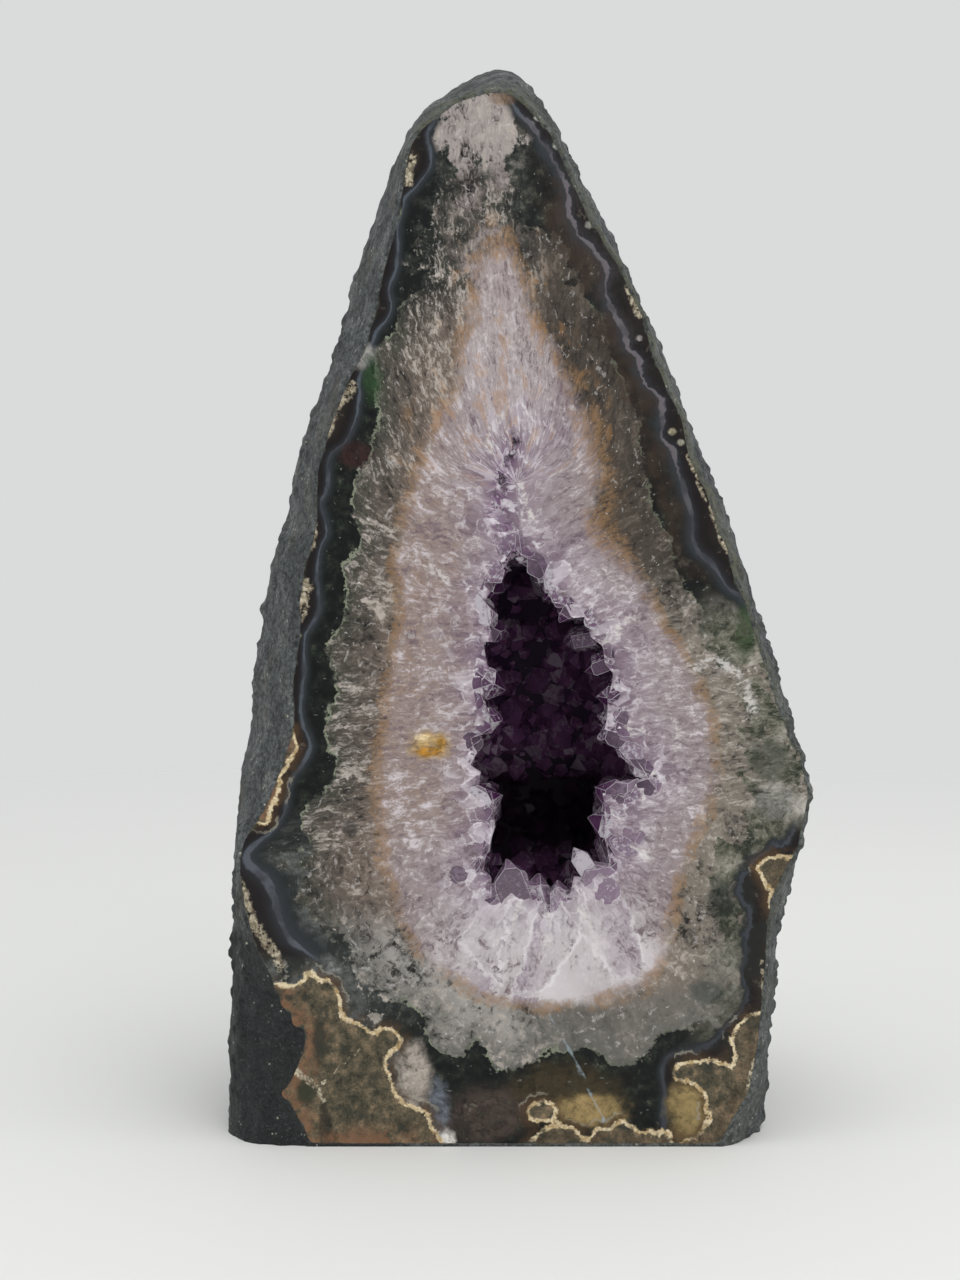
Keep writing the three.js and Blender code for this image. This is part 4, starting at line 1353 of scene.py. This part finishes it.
def together(crystals, sawn=False):
    """Many crystals as one mesh; at the face those of the mouth are cut flat, each at its own depth."""
    joined = bmesh.new()
    behind_tip = joined.verts.layers.float.new("behind_tip")
    # Each face keeps a share of painted light, from painted shade up to a painted highlight
    painted_facet_light = joined.faces.layers.float.new("painted_facet_light")
    contrast = SAWN_CONTRAST if sawn else 1
    for corners, tip, growth in crystals:
        saw = rng.uniform(*SAWN_DEPTHS)
        if sawn and corners[:, 1].min() < saw:
            corners = sawn_off(corners, (0, saw, 0), (0, -1, 0))
        if len(corners) < 4:
            continue
        one = bmesh.new()
        bmesh.ops.convex_hull(one, input=[one.verts.new(p) for p in corners])
        bmesh.ops.dissolve_limit(one, angle_limit=0.02, verts=one.verts, edges=one.edges)
        places = {}
        own = rng.random()
        for face in one.faces:
            for v in face.verts:
                if v not in places:
                    places[v] = joined.verts.new(v.co)
                    places[v][behind_tip] = float((tip - np.array(v.co)) @ growth)
        for face in one.faces:
            made = joined.faces.new([places[v] for v in face.verts])
            made[painted_facet_light] = 0.5 + contrast * (0.35 * own + 0.65 * rng.random() - 0.5)
        one.free()
    bmesh.ops.recalc_face_normals(joined, faces=joined.faces)
    if sawn:
        # Strips of painted highlight along the edges of the broad faces
        broad = [face for face in joined.faces if face.calc_area() > BROAD_FACE]
        edges = bmesh.ops.inset_individual(joined, faces=broad, thickness=EDGE_WIDTH)["faces"]
        for strip in edges:
            strip[painted_facet_light] = EDGE_GLINT
    return joined


def amethyst(
    name, at_tip, at_root, gleam, absorbed, density, clearness, roughness, painted_shade_band=None, painted_shade_inside=None
):
    """Clear quartz, coloured most at its tips, with painted highlights and painted shade on its faces.

    A band of heights can be painted nearly black as shade, and away from the face the crystals can be
    painted darker as shade, towards a given colour.
    """
    f = Finish(name)
    behind = f.sum(f.value("behind_tip"), f.both(f.noise(2.5, 3), 3))
    tinted = f.over(at_tip, at_root, f.fade(behind, 0.5, 9))
    cloud = f.swing(f.noise(1.0 if painted_shade_inside else 1.2, 4, 0.7))
    shade = f.sum(f.value("painted_facet_light"), f.both(cloud, 1.5 if painted_shade_inside else 0.9))
    # Painted shade on some faces and painted highlights on others
    tinted = f.over(tinted, f.over(tinted, (20, 8, 24), 0.7), f.fade(shade, 0.42, 0.1, 0, 0.75))
    tinted = f.over(tinted, gleam, f.fade(shade, 0.6, 0.92, 0, 0.85))
    # Painted shade: darker away from the face, a little less on the right
    if painted_shade_inside:
        behind_face = f.less(f.axis(1), FACE_PLANE / MM)
        right = f.fade(f.axis(0), 0, 14, 1, 0.8)
        darker = f.both(f.fade(behind_face, 1.6, 7), right)
        tinted = f.over(tinted, painted_shade_inside, darker, 0.85)
    # Painted shade: a band of heights painted nearly black
    if painted_shade_band:
        low, high = painted_shade_band
        height = f.axis(2)
        height = f.sum(height, f.both(f.noise(6, 3), 8))
        dark = f.both(f.fade(height, high + 12, high), f.fade(height, low - 6, low + 6))
        tinted = f.over(tinted, (16, 9, 17), dark, 0.92)
    surface = f.finish(
        Base_Color=tinted, Roughness=roughness, IOR=1.544, Transmission_Weight=clearness,
        Normal=f.bump(f.noise(1.1, 3), 0.15, 0.1),
    )
    absorb = f.tree.nodes.new("ShaderNodeVolumeAbsorption")
    absorb.inputs["Color"].default_value = paint(*absorbed)
    absorb.inputs["Density"].default_value = density
    f.tree.links.new(absorb.outputs[0], f.tree.nodes["Material Output"].inputs["Volume"])
    return surface


# The deep crystals stand all over the hollow's wall and point at its middle. They are cloudy and of
# a dark purple, painted nearly black as shade at the hollow's foot, and no saw has touched them.
DEEP_WAYS = 1500
DEEP_LARGE = (2.8, 5.0)  # radius
DEEP_SMALL = (1.3, 2.8)
LARGE_SHARE = 0.3
DEEP_LENGTH = (1.0, 1.7)  # of a crystal's own radius
DEEP_STRAY = 0.24
deep = []
golden = math.pi * (3 - math.sqrt(5))
for n in range(DEEP_WAYS):
    rise = 1 - (2 * n + 1) / DEEP_WAYS
    level = math.sqrt(1 - rise * rise)
    way = np.array([[level * math.cos(n * golden), level * math.sin(n * golden), rise]])
    way += rng.normal(scale=0.03, size=3)
    way /= np.linalg.norm(way)
    root = HOLLOW_MIDDLE + way[0] * (hollow_reach(way)[0] - CRUST_THICKNESS + 0.5)
    if root[1] < bed_level + 3:
        continue
    spine = np.array([HOLLOW_MIDDLE[0] - 1, HOLLOW_MIDDLE[1], np.clip(root[2], 78, 128)])
    inward = spine - root
    inward /= np.linalg.norm(inward)
    inward += rng.normal(scale=DEEP_STRAY, size=3)
    inward /= np.linalg.norm(inward)
    radius = rng.uniform(*(DEEP_LARGE if rng.random() < LARGE_SHARE else DEEP_SMALL))
    height = radius * rng.uniform(*DEEP_LENGTH)
    tip = root + inward * height
    deep.append(crystal(tip, inward, radius, height + 2.5))
deep_piece = together(deep)
deep_finish = amethyst(
    "deep amethyst", at_tip=(172, 116, 170), at_root=(132, 86, 132), gleam=(236, 214, 236),
    absorbed=(150, 96, 160), density=50, clearness=0.4, roughness=0.12, painted_shade_band=(66, 82),
)
lay_down("deep_crystals", deep_piece, deep_finish, "amethyst", "crystal_crust", smooth=False)

# The mouth crystals stand round the opening of the face and along the seam above it. They are paler
# and clearer, and the saw went through those that reach the face.
# The large ones have a place each: tip (x, y, z), the angle they point at in the face, how far they
# lean into the stone, radius and length.
MOUTH_CRYSTALS = [
    ((-3, 4, 103.5), 5, 14, 3.7, 11),
    ((-3, 4.5, 85), 12, 12, 5.2, 15),
    ((-6, 4.5, 75.5), 0, 10, 4.2, 12),
    ((-2.4, 5, 110), -22, 14, 4.3, 12),
    ((-1.5, 8, 122.5), -25, 18, 3.5, 10),
    ((-1, 3.5, 139), -12, 10, 3.4, 9),
    ((-2.5, 6, 134), -20, 14, 3.2, 9),
    ((6.5, 3, 132), 215, 10, 2.7, 8),
    ((10.5, 3, 126.5), 236, 10, 2.7, 8),
    ((11.5, 9, 121.5), 192, 20, 3.2, 9),
    ((16.5, 6, 114.5), 202, 16, 3.2, 9),
    ((19.3, 4, 108.5), 186, 12, 3.3, 9),
    ((19.5, 3.5, 98.5), 196, 12, 3.9, 10),
    ((19.5, 5, 104), 170, 14, 3.0, 8),
    ((19, 3.5, 87), 162, 10, 4.1, 11),
    ((17.3, 4, 79.5), 160, 10, 4.5, 12),
    ((14, 2.6, 72.5), 122, 12, 2.5, 8),
    ((16, 3.5, 69), 132, 8, 5.6, 14),
    ((10, 3, 64.5), 96, 14, 3.0, 9),
    ((5.5, 4, 66), 84, 16, 3.2, 9),
    ((-2.4, 2.8, 69.6), 104, 16, 4.4, 12),
    ((-8.5, 3.5, 68.5), 82, 12, 2.7, 9),
    ((-9, 5, 93), 4, 16, 3.4, 8),
    ((-8.5, 6, 98), -8, 16, 3.0, 8),
    ((-7, 5, 117), -5, 16, 3.2, 8),
    ((-7.5, 5, 129), 4, 16, 2.9, 8),
    ((2.5, 3.5, 141.5), 262, 16, 2.4, 7),
]
WHITE_CRYSTALS = [
    ((27, 2.2, 92.5), 168, 10, 2.9, 8),
    ((25.4, 2.6, 88.6), 150, 12, 3.1, 8),
    ((28.5, 1.6, 88), 176, 8, 2.4, 6),
]
WHITE_PALER = 9
MOUTH_ROWS = ((2.4, 1.6), (5.5, 0.9), (9.5, 0.2), (14, -0.2))  # their depth and how far back they stand
ROW_SPACING = 2.6
ROW_RADIUS = (1.8, 3.4)
SEAM_SPREAD = 0.9  # and twice as much where the seam is wide
SEAM_RADIUS = (0.8, 1.7)
SEAM_PALER = 4.5


def pointing(angle, lean):
    """The direction of a crystal that points at an angle in the face and leans into the stone."""
    turn, tilt = math.radians(angle), math.radians(lean)
    return math.cos(tilt) * math.cos(turn), math.sin(tilt), math.cos(tilt) * math.sin(turn)


mouth = []
for tip, angle, lean, radius, length in MOUTH_CRYSTALS:
    paler = 3 if tip[2] < 75 else -1.5 if tip[1] < 4 else -7
    mouth.append(crystal(tip, pointing(angle, lean), radius, length, paler))
opening_line = spaced(rounded(OPENING, 6), ROW_SPACING)
for row_depth, row_back in MOUTH_ROWS:
    for at in opening_line:
        spot_angle = math.atan2(at[1] - 100, (at[0] - 7) * 2.2)
        inward = -np.array([math.cos(spot_angle), 0, math.sin(spot_angle)])
        inward = inward + rng.normal(scale=0.2, size=3) + (0, 0.28, 0)
        inward /= np.linalg.norm(inward)
        tip = np.array([at[0], row_depth + rng.uniform(-0.8, 1.5), at[1]])
        tip = tip - inward * (row_back + rng.uniform(0, 1.8))
        mouth.append(crystal(tip, inward, rng.uniform(*ROW_RADIUS), 10))
seam_line = rounded(SEAM + SEAM[-2:0:-1], 6)
seam_line = seam_line[: len(seam_line) // 2]
for at in seam_line:
    for _ in range(2):
        wide = np.clip((158 - at[1]) / 14, 0, 1)
        off = rng.normal(scale=SEAM_SPREAD + SEAM_SPREAD * wide)
        growth = (-np.sign(off) * rng.uniform(0.1, 0.8), rng.uniform(-0.9, -0.3), rng.uniform(-0.8, 0.3))
        tip = (at[0] + off, rng.uniform(0.2, 1.4), at[1] + rng.normal(scale=0.6))
        mouth.append(crystal(tip, growth, rng.uniform(*SEAM_RADIUS), 4, SEAM_PALER))
for tip, angle, lean, radius, length in WHITE_CRYSTALS:
    mouth.append(crystal(tip, pointing(angle, lean), radius, length, WHITE_PALER))
mouth_piece = together(mouth, sawn=True)
# Painted shade darkens the mouth crystals away from the face
mouth_finish = amethyst(
    "mouth amethyst", at_tip=(98, 54, 98), at_root=(164, 138, 162), gleam=(242, 236, 243),
    absorbed=(160, 100, 170), density=200, clearness=0.5, roughness=0.06, painted_shade_inside=(66, 38, 66),
)
lay_down("mouth_crystals", mouth_piece, mouth_finish, "amethyst", "crystal_crust", smooth=False)

# The room: a plain pale floor that fades into a pale background, and soft light from above.
FLOOR_RADIUS = 1.6
FLOOR_FADES = (330, 900)  # millimetres from its middle
FLOOR_COLOUR = (235, 235, 232)
BACKGROUND = (218, 219, 219)
ALL_ROUND_LIGHT = (0.68, 0.69, 0.7, 1)
floor_mesh = bpy.data.meshes.new("floor")
floor_cut = bmesh.new()
bmesh.ops.create_circle(floor_cut, cap_ends=True, segments=96, radius=FLOOR_RADIUS)
floor_cut.to_mesh(floor_mesh)
floor_cut.free()
floor = bpy.data.objects.new("floor", floor_mesh)
bpy.context.collection.objects.link(floor)
f = Finish("floor")
distance = f.add("VectorMath", {0: f.place}, "Value", operation="LENGTH")
f.finish(Base_Color=paint(*FLOOR_COLOUR), Roughness=0.7, Alpha=f.fade(distance, *FLOOR_FADES, 1, 0))
floor_mesh.materials.append(f.material)

world = bpy.data.worlds.new("room")
world.use_nodes = True
bpy.context.scene.world = world
tree = world.node_tree
background = tree.nodes["Background"]
path = tree.nodes.new("ShaderNodeLightPath")
mix = tree.nodes.new("ShaderNodeMix")
mix.data_type = "RGBA"
mix.inputs[6].default_value = ALL_ROUND_LIGHT
mix.inputs[7].default_value = paint(*BACKGROUND)
tree.links.new(path.outputs["Is Camera Ray"], mix.inputs[0])
tree.links.new(mix.outputs[2], background.inputs["Color"])


def soft_light(name, place, aim, size, power):
    """A round lamp that shines at a point, with its width in metres and its power in watts."""
    lamp = bpy.data.lights.new(name, "AREA")
    lamp.shape = "DISK"
    lamp.size = size
    lamp.energy = power
    lamp_object = bpy.data.objects.new(name, lamp)
    lamp_object.location = place
    lamp_object.rotation_euler = (Vector(aim) - Vector(place)).to_track_quat("-Z", "Y").to_euler()
    bpy.context.collection.objects.link(lamp_object)


soft_light("lamp_above", (0.3, -0.5, 1.3), (0, 0, 0.1), 1.6, 7.2)
soft_light("lamp_left", (-1.1, -0.9, 0.8), (0, 0, 0.12), 1.0, 1.8)
soft_light("lamp_front", (0.5, -1.3, 0.6), (0, 0, 0.12), 0.9, 3.6)

bpy.context.scene.view_settings.view_transform = "Standard"
bpy.context.view_layer.update()
